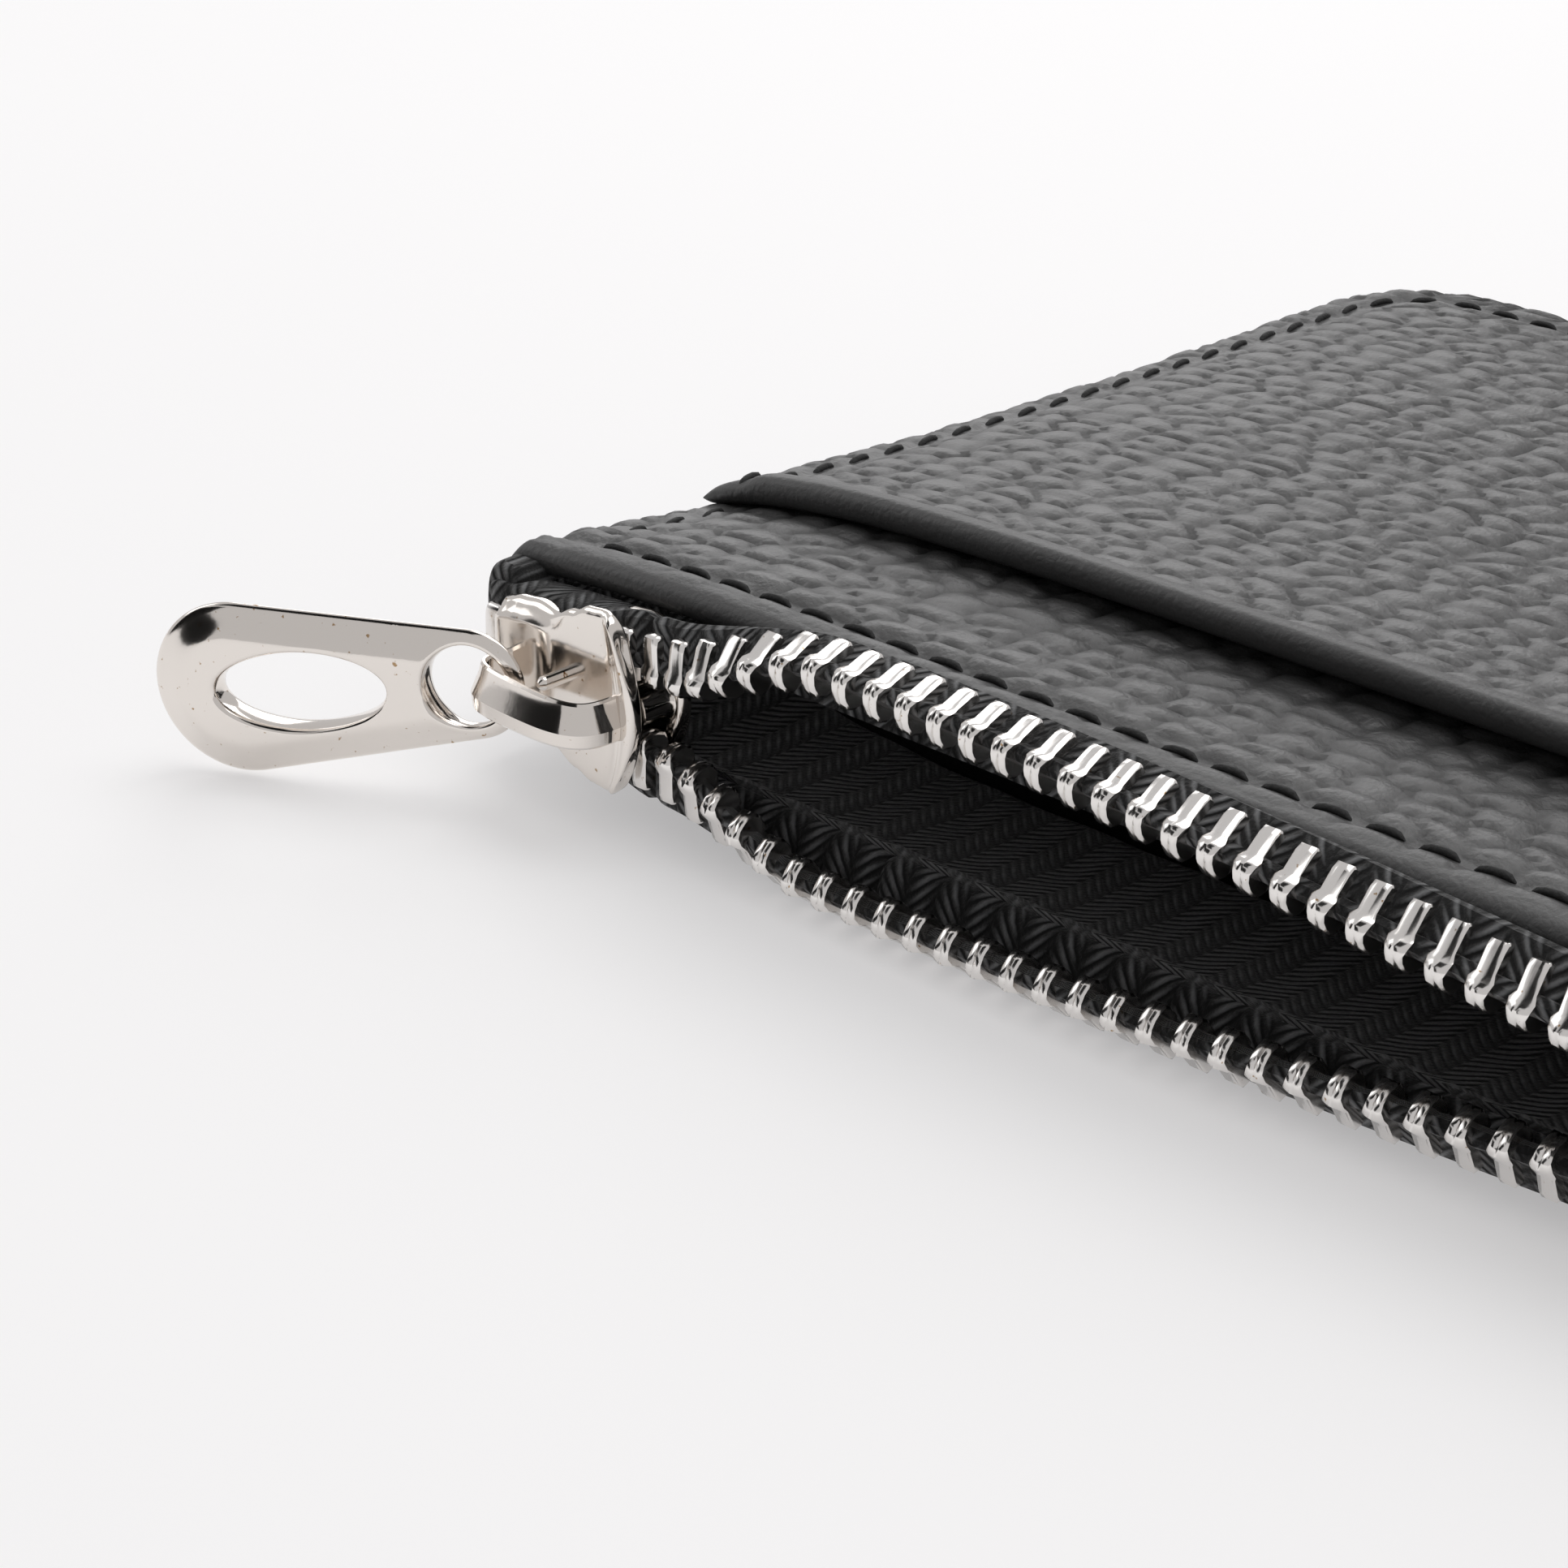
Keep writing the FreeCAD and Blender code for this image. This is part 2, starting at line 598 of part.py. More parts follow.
def pull_placement():
    """Pull hung in the arch, turned out from the plate, its wide end low."""
    yaw = math.radians(size("pull_yaw"))
    droop = math.radians(size("pull_droop"))
    length = Vector(-math.cos(yaw) * math.cos(droop), -math.sin(yaw) * math.cos(droop), -math.sin(droop))
    face = Vector(math.sin(yaw), -math.cos(yaw), 0)
    wide = face.cross(length)
    hinge = PULL_HINGE + length * (size("ring_hole") + size("ring_band"))
    matrix = FreeCAD.Matrix(
        length.x, wide.x, face.x, hinge.x,
        length.y, wide.y, face.y, hinge.y,
        length.z, wide.z, face.z, hinge.z,
        0, 0, 0, 1,
    )
    return FreeCAD.Placement(matrix)


PULL_HINGE = Vector(
    size("slider_middle") + size("slider_length") / 2 - size("arch_place") - size("arch_long")
    + size("pull_place"),
    CHAIN_Y - size("plate_gap") / 2 - size("plate") - size("arch_rise") / 2,
    CHAIN_Z + size("hinge_lift"),
)


def make_stops():
    """Metal stops: one box at the open end, and one on each row at the closed end."""
    box = doc.addObject("Part::Box", "EndStop")
    box.setExpression("Length", "Sizes.stop_wide")
    box.setExpression("Width", "Sizes.tooth_thick")
    box.setExpression("Height", "2 * (Sizes.chain_half - Sizes.stop_short)")
    deep = size("tooth_thick")
    low = CHAIN_Z - size("chain_half") + size("stop_short")
    spot = Vector(size("stop_inset") - HALF, CHAIN_Y - deep / 2, low)
    box.Placement = FreeCAD.Placement(spot, FreeCAD.Rotation())
    keep(box, "end_stop")
    for side, name in ((1, "upper"), (-1, "lower")):
        stop = doc.addObject("Part::Box", name.capitalize() + "TopStop")
        stop.setExpression("Length", "Sizes.tooth_leg - 0.4")
        stop.setExpression("Width", "Sizes.stop_wide")
        stop.setExpression("Height", "Sizes.tooth_thick")
        place = row_frame(size("zip_end") - size("stop_inset") * (1 + side), side)
        corner = Vector(size("stop_place"), -size("stop_wide") / 2, -size("tooth_thick") / 2)
        shift = FreeCAD.Placement(corner, FreeCAD.Rotation())
        stop.Placement = place.multiply(shift)
        keep(stop, name + "_top_stop")


def make_tape_ends():
    """The tapes' ends, turned back and sewn over each end of the zip."""
    for hand, sign in (("left", -1), ("right", 1)):
        inner = HALF - size("fold_in")
        outer = HALF + size("fold_out")
        thick = size("fold_thick")
        face = LIP - size("fold_face")
        low = under(sign * outer, LIP) + LEATHER + size("fold_room")
        high = top(sign * outer, LIP) - LEATHER - size("fold_room")
        block = Part.makeBox(outer - inner, thick, high - low, Vector(inner, face, low))
        block = block.makeFillet(0.4, block.Edges)
        if sign < 0:
            block = block.mirror(Vector(0, 0, 0), Vector(1, 0, 0))
        feature(hand + "_tape_end", block)


def stitch_row(places, height):
    """Thread stitches, each a flat-ended bar laid along the seam: places are (x, y, angle)."""
    thread = size("thread")
    length = size("stitch_length")
    stitches = []
    for x, y, angle in places:
        bar = Part.makeBox(length, thread, thread, Vector(-length / 2, -thread / 2, 0))
        bar.Placement = FreeCAD.Placement(
            Vector(x, y, height(x, y)), FreeCAD.Rotation(Vector(0, 0, 1), angle)
        )
        stitches.append(bar)
    return Part.makeCompound(stitches)


def straight_places(y, reach):
    count = int(2 * reach / size("stitch_pitch"))
    start = -(count - 1) * size("stitch_pitch") / 2
    return [(start + i * size("stitch_pitch"), y, 0) for i in range(count)]


def edge_places():
    """Stitches up the left side, round the far corners and down the right side."""
    inset = size("edge_stitch")
    x = HALF - inset
    y = FAR - inset
    radius = size("corner_radius") - inset
    pitch = size("stitch_pitch")
    side = y - radius - (size("hem_line") + size("edge_start"))
    bend = radius * math.pi / 2
    far = 2 * (x - radius)
    total = 2 * side + 2 * bend + far
    places = []
    for i in range(int(total / pitch)):
        run = (i + 0.5) * pitch
        if run < side:
            places.append((-x, y - radius - side + run, 90))
        elif run < side + bend:
            turn = (run - side) / radius
            angle = math.pi - turn
            spot = (-x + radius + radius * math.cos(angle), y - radius + radius * math.sin(angle))
            places.append((spot[0], spot[1], 90 - math.degrees(turn)))
        elif run < side + bend + far:
            places.append((-x + radius + run - side - bend, y, 0))
        elif run < side + 2 * bend + far:
            turn = (run - side - bend - far) / radius
            angle = math.pi / 2 - turn
            spot = (x - radius + radius * math.cos(angle), y - radius + radius * math.sin(angle))
            places.append((spot[0], spot[1], -math.degrees(turn)))
        else:
            places.append((x, y - radius - (run - side - 2 * bend - far), 90))
    return places


def make_stitches():
    """Four lines of thread: both lips, the pocket's hem and round the edge."""
    sunk = size("stitch_sunk")
    reach = HALF - size("row_inset")

    def pocket_face(x, y):
        return pocket_under(x, y) + size("pocket_leather") - sunk

    lip_line = straight_places(LIP + size("zip_stitch"), reach)
    feature("upper_zip_stitches", stitch_row(lip_line, lambda x, y: top(x, y) - sunk))
    buried = sunk - size("thread")
    feature("lower_zip_stitches", stitch_row(lip_line, lambda x, y: under(x, y) + buried))
    hem_row = straight_places(size("hem_line") + size("hem_stitch"), reach)
    feature("hem_stitches", stitch_row(hem_row, pocket_face))
    feature("edge_stitches", stitch_row(edge_places(), pocket_face))


def make_slider():
    """Slider body, arch, lock pin and pull, set on the closed rows."""
    for obj, label in ((make_slider_body(), "slider_body"), (make_arch(), "slider_arch")):
        obj.Placement = slider_placement()
        keep(obj, label)
    keep(make_lock_pin(), "lock_pin")
    keep(make_pull(), "pull_tab")


def check_and_write():
    """Refuse a broken document, then write each sub-part."""
    doc.recompute()
    for obj in doc.Objects:
        if "Invalid" in obj.State or "Error" in obj.State:
            raise RuntimeError("%s failed: %s" % (obj.Label, obj.State))
    os.makedirs("parts", exist_ok=True)
    for obj in SUBPARTS:
        shape = obj.Shape
        if shape.isNull() or not shape.isValid() or not shape.Solids:
            raise RuntimeError("%s has no sound shape" % obj.Label)
        shape.exportStep("parts/%s.step" % obj.Label)
        box = shape.BoundBox
        print("%-20s %3d solid(s) %9.2f mm3  z %6.2f..%6.2f  x %6.1f..%6.1f" % (
            obj.Label, len(shape.Solids), shape.Volume, box.ZMin, box.ZMax, box.XMin, box.XMax))


make_leather()
make_rows()
make_stops()
make_tape_ends()
make_stitches()
make_slider()
check_and_write()
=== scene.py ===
# %% [markdown]
# # A zipped coin purse in black leather
# The purse lies on its back with the zip drawn open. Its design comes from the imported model:
# every piece below is built in the same frame, X along the zip, Y from the zip to the far edge, Z up.
# Shapes are worked out in millimetres and put into the meshes in metres.

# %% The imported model
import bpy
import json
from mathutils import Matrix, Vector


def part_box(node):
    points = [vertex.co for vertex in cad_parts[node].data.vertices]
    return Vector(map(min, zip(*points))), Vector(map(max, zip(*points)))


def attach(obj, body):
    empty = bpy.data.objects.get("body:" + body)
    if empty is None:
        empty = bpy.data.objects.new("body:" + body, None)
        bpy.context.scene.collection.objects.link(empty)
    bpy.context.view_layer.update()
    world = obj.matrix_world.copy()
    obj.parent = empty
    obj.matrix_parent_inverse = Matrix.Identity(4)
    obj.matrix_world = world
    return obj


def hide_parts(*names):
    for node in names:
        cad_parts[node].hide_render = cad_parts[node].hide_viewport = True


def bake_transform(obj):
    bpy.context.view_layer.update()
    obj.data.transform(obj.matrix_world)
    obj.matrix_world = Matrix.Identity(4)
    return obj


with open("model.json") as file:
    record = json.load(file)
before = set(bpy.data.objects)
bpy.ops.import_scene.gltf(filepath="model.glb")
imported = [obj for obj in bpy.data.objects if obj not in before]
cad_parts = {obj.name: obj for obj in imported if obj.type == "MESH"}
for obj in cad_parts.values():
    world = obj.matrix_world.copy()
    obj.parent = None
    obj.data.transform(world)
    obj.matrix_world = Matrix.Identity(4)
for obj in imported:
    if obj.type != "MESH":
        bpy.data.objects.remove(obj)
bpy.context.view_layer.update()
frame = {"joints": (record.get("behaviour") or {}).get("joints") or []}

import json
import math

import bmesh
import bpy
import numpy as np
from mathutils import Vector

MM = 0.001


def low_high(node):
    """A node's lowest and highest corner, in millimetres."""
    low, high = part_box(node)
    return np.array(low) / MM, np.array(high) / MM


# %% [markdown]
# ## Camera
# A long lens close to the slider, looking down by a little over a quarter of a right angle.

# %% Camera
CAMERA_PLACE = (0.08046, -0.16300, 0.08705)
CAMERA_DOWN = 25.64
CAMERA_TURN = 44.63
CAMERA_LENS = 83.85

camera_data = bpy.data.cameras.new("camera")
camera_data.lens = CAMERA_LENS
camera_data.sensor_width = 36
camera_data.clip_start = 0.01
camera = bpy.data.objects.new("camera", camera_data)
camera.location = CAMERA_PLACE
camera.rotation_euler = (math.radians(90 - CAMERA_DOWN), 0, math.radians(CAMERA_TURN))
bpy.context.scene.collection.objects.link(camera)
bpy.context.scene.camera = camera
bpy.context.scene.view_settings.view_transform = "Standard"
print("camera looks down", CAMERA_DOWN, "degrees")

# %% [markdown]
# ## Shader helpers
# A `Value` wraps a socket, so that shader maths reads as Python. A `Finish` is one material:
# its `node` method adds any node from its type, its settings and its sockets' values or links.

# %% Shader helpers
class Value:
    """A socket whose sums, products and differences add Math nodes."""

    def __init__(self, finish, socket):
        self.finish = finish
        self.socket = socket

    def math(self, operation, first, second=None):
        inputs = {0: first} if second is None else {0: first, 1: second}
        return self.finish.node("ShaderNodeMath", {"operation": operation}, inputs)

    def __add__(self, other):
        return self.math("ADD", self, other)

    def __radd__(self, other):
        return self.math("ADD", other, self)

    def __sub__(self, other):
        return self.math("SUBTRACT", self, other)

    def __rsub__(self, other):
        return self.math("SUBTRACT", other, self)

    def __mul__(self, other):
        return self.math("MULTIPLY", self, other)

    def __rmul__(self, other):
        return self.math("MULTIPLY", other, self)

    def sine(self):
        return self.math("SINE", self)

    def zigzag(self, width):
        return self.math("PINGPONG", self, width)


class Finish:
    """One material and its nodes."""

    def __init__(self, name, **fixed):
        self.material = bpy.data.materials.new(name)
        self.material.use_nodes = True
        self.tree = self.material.node_tree
        self.shader = self.tree.nodes["Principled BSDF"]
        for socket, value in fixed.items():
            self.shader.inputs[socket.replace("_", " ")].default_value = value

    def node(self, kind, settings, inputs, outlet=0):
        made = self.tree.nodes.new(kind)
        for key, value in settings.items():
            if key == "stops":
                self.set_stops(made.color_ramp, value)
            else:
                setattr(made, key, value)
        for key, value in inputs.items():
            self.put(made.inputs[key], value)
        return Value(self, made.outputs[outlet])

    def set_stops(self, ramp, stops):
        while len(ramp.elements) < len(stops):
            ramp.elements.new(0.5)
        for element, (place, colour) in zip(ramp.elements, stops):
            element.position = place
            element.color = colour

    def put(self, socket, value):
        if isinstance(value, Value):
            self.tree.links.new(value.socket, socket)
        else:
            socket.default_value = value

    def set(self, name, value):
        self.put(self.shader.inputs[name], value)

    def place(self):
        """Where a point is on the piece, in metres."""
        return self.node("ShaderNodeTexCoord", {}, {}, "Object")

    def noise(self, scale, detail):
        inputs = {"Scale": scale, "Detail": detail, "Vector": self.place()}
        return self.node("ShaderNodeTexNoise", {}, inputs, "Fac")

    def cells(self, scale, feature):
        inputs = {"Scale": scale, "Vector": self.place()}
        return self.node("ShaderNodeTexVoronoi", {"feature": feature}, inputs, "Distance")

    def ramp(self, value, stops):
        return self.node("ShaderNodeValToRGB", {"stops": stops}, {"Fac": value}, "Color")

    def bump(self, height, distance, strength):
        inputs = {"Height": height, "Distance": distance, "Strength": strength}
        return self.node("ShaderNodeBump", {}, inputs, "Normal")


def grey(level, warm=0.0):
    """A grey, pushed a little towards warm or cool."""
    return (level * (1 + warm), level, level * (1 - warm), 1.0)


# %% [markdown]
# ## Leather
# Pebbled black leather. The pebbles are in the mesh, which keeps their height as "grain", so that
# crowns can be smoother than creases. The creases are also darker in colour, which is painted shade.
# Wrinkles and pores are too small for the mesh.

# %% Leather finish
def leather_finish():
    """Black leather: fine wrinkles over the pebbles, which are in the mesh, and painted shade in creases."""
    leather = Finish("black_leather", Specular_IOR_Level=0.8)
    wrinkle = leather.cells(1500.0, "DISTANCE_TO_EDGE")
    pore = leather.noise(3800.0, 3.0)
    cloud = leather.noise(140.0, 3.0)
    crown = leather.node("ShaderNodeAttribute", {"attribute_name": "grain"}, {}, "Fac")
    fine = wrinkle * 0.6 + pore * 0.5
    leather.set("Normal", leather.bump(fine, 0.00012, 0.6))
    # Painted shade: the colour darkens into the creases and lightens on the crowns; the cloud adds random
    # tone.
    crease_shade_and_tone = crown * 0.7 + cloud * 0.4
    leather.set("Base Color", leather.ramp(crease_shade_and_tone, [(0.15, grey(0.006)), (0.95, grey(0.048, 0.005))]))
    leather.set("Roughness", 0.47 - crown * 0.14 + cloud * 0.12 + pore * 0.06)
    return leather.material


# %% [markdown]
# ## Cloth and thread
# The tape's herringbone is drawn in its UV map, in millimetres, so that its columns keep straight
# however the tape bends. The lining is plain cloth and the thread is waxed.

# %% Cloth finishes
TAPE_COLUMN = 1.9
TAPE_STROKE = 0.75


def tape_finish():
    """Woven tape: a herringbone whose columns run across the tape, drawn in its UV map."""
    tape = Finish("herringbone_tape", Roughness=0.85, Specular_IOR_Level=0.25, Sheen_Weight=0.25)
    uv = tape.node("ShaderNodeUVMap", {"uv_map": "UVMap"}, {}, "UV")
    along = tape.node("ShaderNodeSeparateXYZ", {}, {"Vector": uv}, "X")
    across = Value(tape, along.socket.node.outputs["Y"])
    slope = along.zigzag(TAPE_COLUMN)
    ribs = ((across + slope) * (2 * math.pi / TAPE_STROKE)).sine() * 0.5 + 0.5
    column = slope.zigzag(TAPE_COLUMN / 2) * (2 / TAPE_COLUMN)
    hair = tape.noise(5200.0, 2.0)
    height = ribs * (column * 0.8 + 0.2) + hair * 0.3
    tape.set("Normal", tape.bump(height, 0.00022, 0.9))
    # The colour follows the weave's height: painted sheen on the ribs and painted shade in the hollows, plus
    # random fibre tone from the hair noise.
    tape.set("Base Color", tape.ramp(height, [(0.45, grey(0.003)), (1.0, grey(0.13, -0.02))]))
    return tape.material


def cloth_finish():
    """Plain black lining cloth."""
    cloth = Finish("black_lining", Roughness=0.9, Specular_IOR_Level=0.2)
    weave = cloth.noise(4000.0, 2.0)
    cloth.set("Normal", cloth.bump(weave, 0.0001, 0.6))
    cloth.set("Base Color", cloth.ramp(weave, [(0.3, grey(0.004)), (0.8, grey(0.012))]))
    return cloth.material


def thread_finish():
    """Waxed black thread."""
    thread = Finish("black_thread", Specular_IOR_Level=0.4)
    twist = thread.noise(6000.0, 2.0)
    thread.set("Normal", thread.bump(twist, 0.00008, 0.7))
    thread.set("Base Color", thread.ramp(twist, [(0.2, grey(0.004)), (0.9, grey(0.016))]))
    thread.set("Roughness", 0.55 + twist * 0.2)
    return thread.material


# %% [markdown]
# ## Nickel
# Teeth and slider are nickel plated and polished, the teeth a little less smoothly. Faint smears
# and a few specks break up the reflections.

# %% Nickel finish
def nickel_finish(name, level, warm, rough):
    """Polished nickel with faint handling marks and a few tiny brown specks."""
    nickel = Finish(name, Metallic=1.0)
    smear = nickel.noise(420.0, 4.0)
    speck = nickel.noise(2600.0, 2.0)
    tint = nickel.ramp(speck, [(0.70, grey(level, warm)), (0.76, (0.40, 0.27, 0.15, 1.0))])
    nickel.set("Base Color", tint)
    nickel.set("Roughness", rough + smear * 0.08)
    nickel.set("Normal", nickel.bump(smear, 0.00004, 0.25))
    return nickel.material


LEATHER = leather_finish()
TAPE = tape_finish()
CLOTH = cloth_finish()
THREAD = thread_finish()
TEETH = nickel_finish("nickel_teeth", 0.80, 0.03, 0.13)
NICKEL = nickel_finish("nickel_slider", 0.76, 0.06, 0.07)
print("finishes", [m.name for m in bpy.data.materials])

# %% [markdown]
# ## Stage
# A pale floor and soft light from above, the side and behind, so that black leather shows by its
# sheen. Two dark cards out of view give the metal something dark to mirror.

# %% Stage
FLOOR_REACH = 3.0
FLOOR_GLOW = 0.39


def floor_finish():
    floor = Finish("pale_floor", Roughness=0.7, Specular_IOR_Level=0.1, Emission_Strength=FLOOR_GLOW)
    floor.set("Emission Color", (1.0, 0.985, 0.99, 1.0))
    floor.set("Base Color", floor.ramp(floor.noise(6.0, 1.0), [(0.0, grey(0.56)), (1.0, grey(0.58))]))
    return floor.material


def square_mesh(name, reach, material):
    """A flat square that reaches equally far from its middle on every side."""
    corners = [(-reach, -reach, 0), (reach, -reach, 0), (reach, reach, 0), (-reach, reach, 0)]
    mesh = bpy.data.meshes.new(name)
    mesh.from_pydata(corners, [], [(0, 1, 2, 3)])
    mesh.materials.append(material)
    return mesh


def make_floor():
    floor = bpy.data.objects.new("floor", square_mesh("floor", FLOOR_REACH, floor_finish()))
    bpy.context.scene.collection.objects.link(floor)


def add_light(name, place, aim, size, power):
    """A square soft light at a place, aimed at a point."""
    data = bpy.data.lights.new(name, "AREA")
    data.size = size
    data.energy = power
    light = bpy.data.objects.new(name, data)
    light.location = place
    light.rotation_euler = (Vector(aim) - Vector(place)).to_track_quat("-Z", "Y").to_euler()
    bpy.context.scene.collection.objects.link(light)


def make_world():
    world = bpy.data.worlds.new("studio")
    bpy.context.scene.world = world
    world.use_nodes = True
    world.node_tree.nodes["Background"].inputs["Color"].default_value = (1.0, 0.985, 0.99, 1.0)
    world.node_tree.nodes["Background"].inputs["Strength"].default_value = 0.59


def add_card(name, place, aim, size):
    """A dark card beside the camera, which the polished metal mirrors."""
    dark = Finish("dark_card", Roughness=0.9, Specular_IOR_Level=0.0)
    dark.set("Base Color", dark.ramp(dark.noise(4.0, 1.0), [(0.0, grey(0.010)), (1.0, grey(0.014))]))
    card = bpy.data.objects.new(name, square_mesh(name, size / 2, dark.material))
    card.location = place
    card.rotation_euler = (Vector(aim) - Vector(place)).to_track_quat("Z", "Y").to_euler()
    bpy.context.scene.collection.objects.link(card)


make_floor()
make_world()
add_card("low_dark_card", (-0.40, -0.66, 0.20), (-0.05, -0.04, 0), 0.5)
add_card("high_dark_card", (-0.13, -0.44, 0.70), (-0.05, -0.04, 0), 0.5)
add_light("overhead", (0.05, 0.25, 0.75), (0, 0, 0), 0.7, 2.7)
add_light("side", (-0.7, -0.25, 0.45), (0, 0, 0), 0.4, 0.5)
add_light("back", (-0.60, 0.58, 0.40), (0, 0, 0), 0.5, 1.3)
print("stage set")

# %% [markdown]
# ## From numbers to meshes
# A surface is a grid of points. A sheet is two such grids, its faces, that share their border.
# A bar is a row of rings with a flat end at each end. Faces are turned outwards by the sign of the
# volume that they enclose.

# %% Mesh helpers
def cell_faces(index):
    """Quads between neighbours of an array of point numbers."""
    corners = (index[:-1, :-1], index[1:, :-1], index[1:, 1:], index[:-1, 1:])
    return np.stack([c.ravel() for c in corners], axis=1)


def volume_of(points, faces):
    """Signed volume inside the faces: the sum of the wedges from the origin to each triangle."""
    total = 0.0
    for size in {len(f) for f in faces}:
        same = np.array([f for f in faces if len(f) == size])
        for k in range(1, size - 1):
            a, b, c = points[same[:, 0]], points[same[:, k]], points[same[:, k + 1]]
            total += np.einsum("ij,ij->i", a, np.cross(b, c)).sum() / 6
    return total


def make_piece(name, points, faces, finish, uv=None, crease=40, grain=None):
    """A closed mesh in metres from points in millimetres."""
    points = np.asarray(points, float).reshape(-1, 3)
    faces = [tuple(int(i) for i in f) for f in faces]
    if volume_of(points, faces) < 0:
        faces = [f[::-1] for f in faces]
    used = np.unique(np.concatenate([np.array(f) for f in faces]))
    renumber = np.full(len(points), -1)
    renumber[used] = np.arange(len(used))
    faces = [tuple(renumber[list(f)].tolist()) for f in faces]
    mesh = bpy.data.meshes.new(name)
    mesh.from_pydata((points[used] * MM).tolist(), [], faces)
    mesh.polygons.foreach_set("use_smooth", np.ones(len(faces), bool))
    mesh.set_sharp_from_angle(angle=math.radians(crease))
    if uv is not None:
        layer = mesh.uv_layers.new(name="UVMap")
        loops = np.zeros(len(mesh.loops), np.int32)
        mesh.loops.foreach_get("vertex_index", loops)
        layer.data.foreach_set("uv", np.asarray(uv, float).reshape(-1, 2)[used][loops].ravel())
    if grain is not None:
        values = np.tile(grain.ravel(), 2)[used]
        mesh.attributes.new("grain", "FLOAT", "POINT").data.foreach_set("value", values)
    mesh.materials.append(finish)
    piece = bpy.data.objects.new(name, mesh)
    bpy.context.scene.collection.objects.link(piece)
    return piece


def sheet_mesh(outer, inner):
    """Points and faces of two equal grids joined along their border."""
    rows, columns = outer.shape[:2]
    front = np.arange(rows * columns).reshape(rows, columns)
    back = front + rows * columns
    back[0], back[-1] = front[0], front[-1]
    back[:, 0], back[:, -1] = front[:, 0], front[:, -1]
    points = np.concatenate([outer.reshape(-1, 3), inner.reshape(-1, 3)])
    faces = np.concatenate([cell_faces(front), cell_faces(back)[:, ::-1]])
    return points, faces


def bar_mesh(rings):
    """Points and faces of rings (count, around, 3) joined in a row and closed at both ends."""
    count, around = rings.shape[:2]
    index = np.arange(count * around).reshape(count, around)
    wrapped = np.concatenate([index, index[:, :1]], axis=1)
    faces = [tuple(f) for f in cell_faces(wrapped)]
    faces += [tuple(index[0][::-1]), tuple(index[-1])]
    return rings.reshape(-1, 3), faces


def joined(parts):
    """Several (points, faces) as one."""
    points, faces, start = [], [], 0
    for some_points, some_faces in parts:
        points.append(np.asarray(some_points).reshape(-1, 3))
        faces += [tuple(np.array(f) + start) for f in some_faces]
        start += len(points[-1])
    return np.concatenate(points), faces


def settle(piece, body, slot, *nodes):
    """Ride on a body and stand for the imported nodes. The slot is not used."""
    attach(piece, body)
    if nodes:
        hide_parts(*nodes)
    print(piece.name, len(piece.data.polygons), "faces")
    return piece


def smooth(t):
    """0 to 1 with level ends: t squared times (3 - 2t)."""
    t = np.clip(t, 0, 1)
    return t * t * (3 - 2 * t)


def hump(t, width):
    """A bell curve, 1 at 0."""
    return np.exp(-((t / width) ** 2))


# %% [markdown]
# ## The shape of the purse
# The outer faces of the front and back panels are functions of x and y: fullest at the zip, thin at
# the side and far seams. The four driving heights are the same as in the design.

# %% Panel faces
panel_low, panel_high = low_high("front_panel")
HALF = panel_high[0]
LIP, FAR = panel_low[1], panel_high[1]
DEPTH = FAR - LIP
LIP_TOP = panel_high[2]
FAR_TOP = 9.0
SEAM_TOP = 8.0
CORNER_TOP = 12.4
SEAM_STACK = 2.8
CORNER_GAP = 8.0
LIP_CURL = 1.0
HEM = low_high("card_pocket")[0][1]
HEM_BOW = 0.9
CORNER = 9.0
LEATHER_THICK = 1.1
TURNED_THICK = 1.7
POCKET_INSET = 0.45


def across(y):
    return np.clip((y - LIP) / DEPTH, 0, 1)


def fullness(x, y):
    return (1 - np.clip(np.abs(x) / HALF, 0, 1) ** 8) * (1 - across(y) ** 10)


def side_top(y):
    return SEAM_TOP + (CORNER_TOP - SEAM_TOP) * (1 - across(y)) ** 3


def top_face(x, y):
    """Outer face of the front panel."""
    plain = LIP_TOP + (FAR_TOP - LIP_TOP) * across(y)
    return side_top(y) + (plain - side_top(y)) * fullness(x, y)


def under_face(x, y):
    """Outer face of the back panel, flat on the table in the middle."""
    gap = CORNER_GAP * np.maximum(0, 1 - across(y) / 0.2) ** 2
    side = side_top(y) - SEAM_STACK - gap
    curl = LIP_CURL * np.maximum(0, 1 - across(y) / 0.12) ** 2
    full = fullness(x, y)
    return np.maximum(side * (1 - full) + curl * full - 0.1, 0.0)


def pocket_under(x, y):
    """Underside of the card pocket, which stands open a little at its hem."""
    bow = HEM_BOW * (1 - (x / HALF) ** 2) * np.maximum(0, 1 - (y - HEM) / 14) ** 2
    return top_face(x, y) + 0.06 + np.maximum(bow, 0)


def half_width(y, inset=0.0):
    """Half the panel's width: straight sides and round far corners."""
    radius = CORNER - inset
    start = FAR - CORNER
    run = np.clip((y - start) / radius, 0, 1)
    return HALF - inset - radius + radius * np.sqrt(np.maximum(0, 1 - run * run))


print("purse", 2 * HALF, "by", DEPTH, "mm")

# %% [markdown]
# ## Leather grain
# Pebbles are cells round scattered points, higher in the middle and creased between. A point's
# height comes from how much further its second nearest seed is than its nearest.

# %% Pebbles
PEBBLE = 2.5
PEBBLE_RISE = 0.38
PLAIN_CROWN = 0.45
scatter = np.random.default_rng(7).uniform(0.12, 0.88, (96, 96, 2))


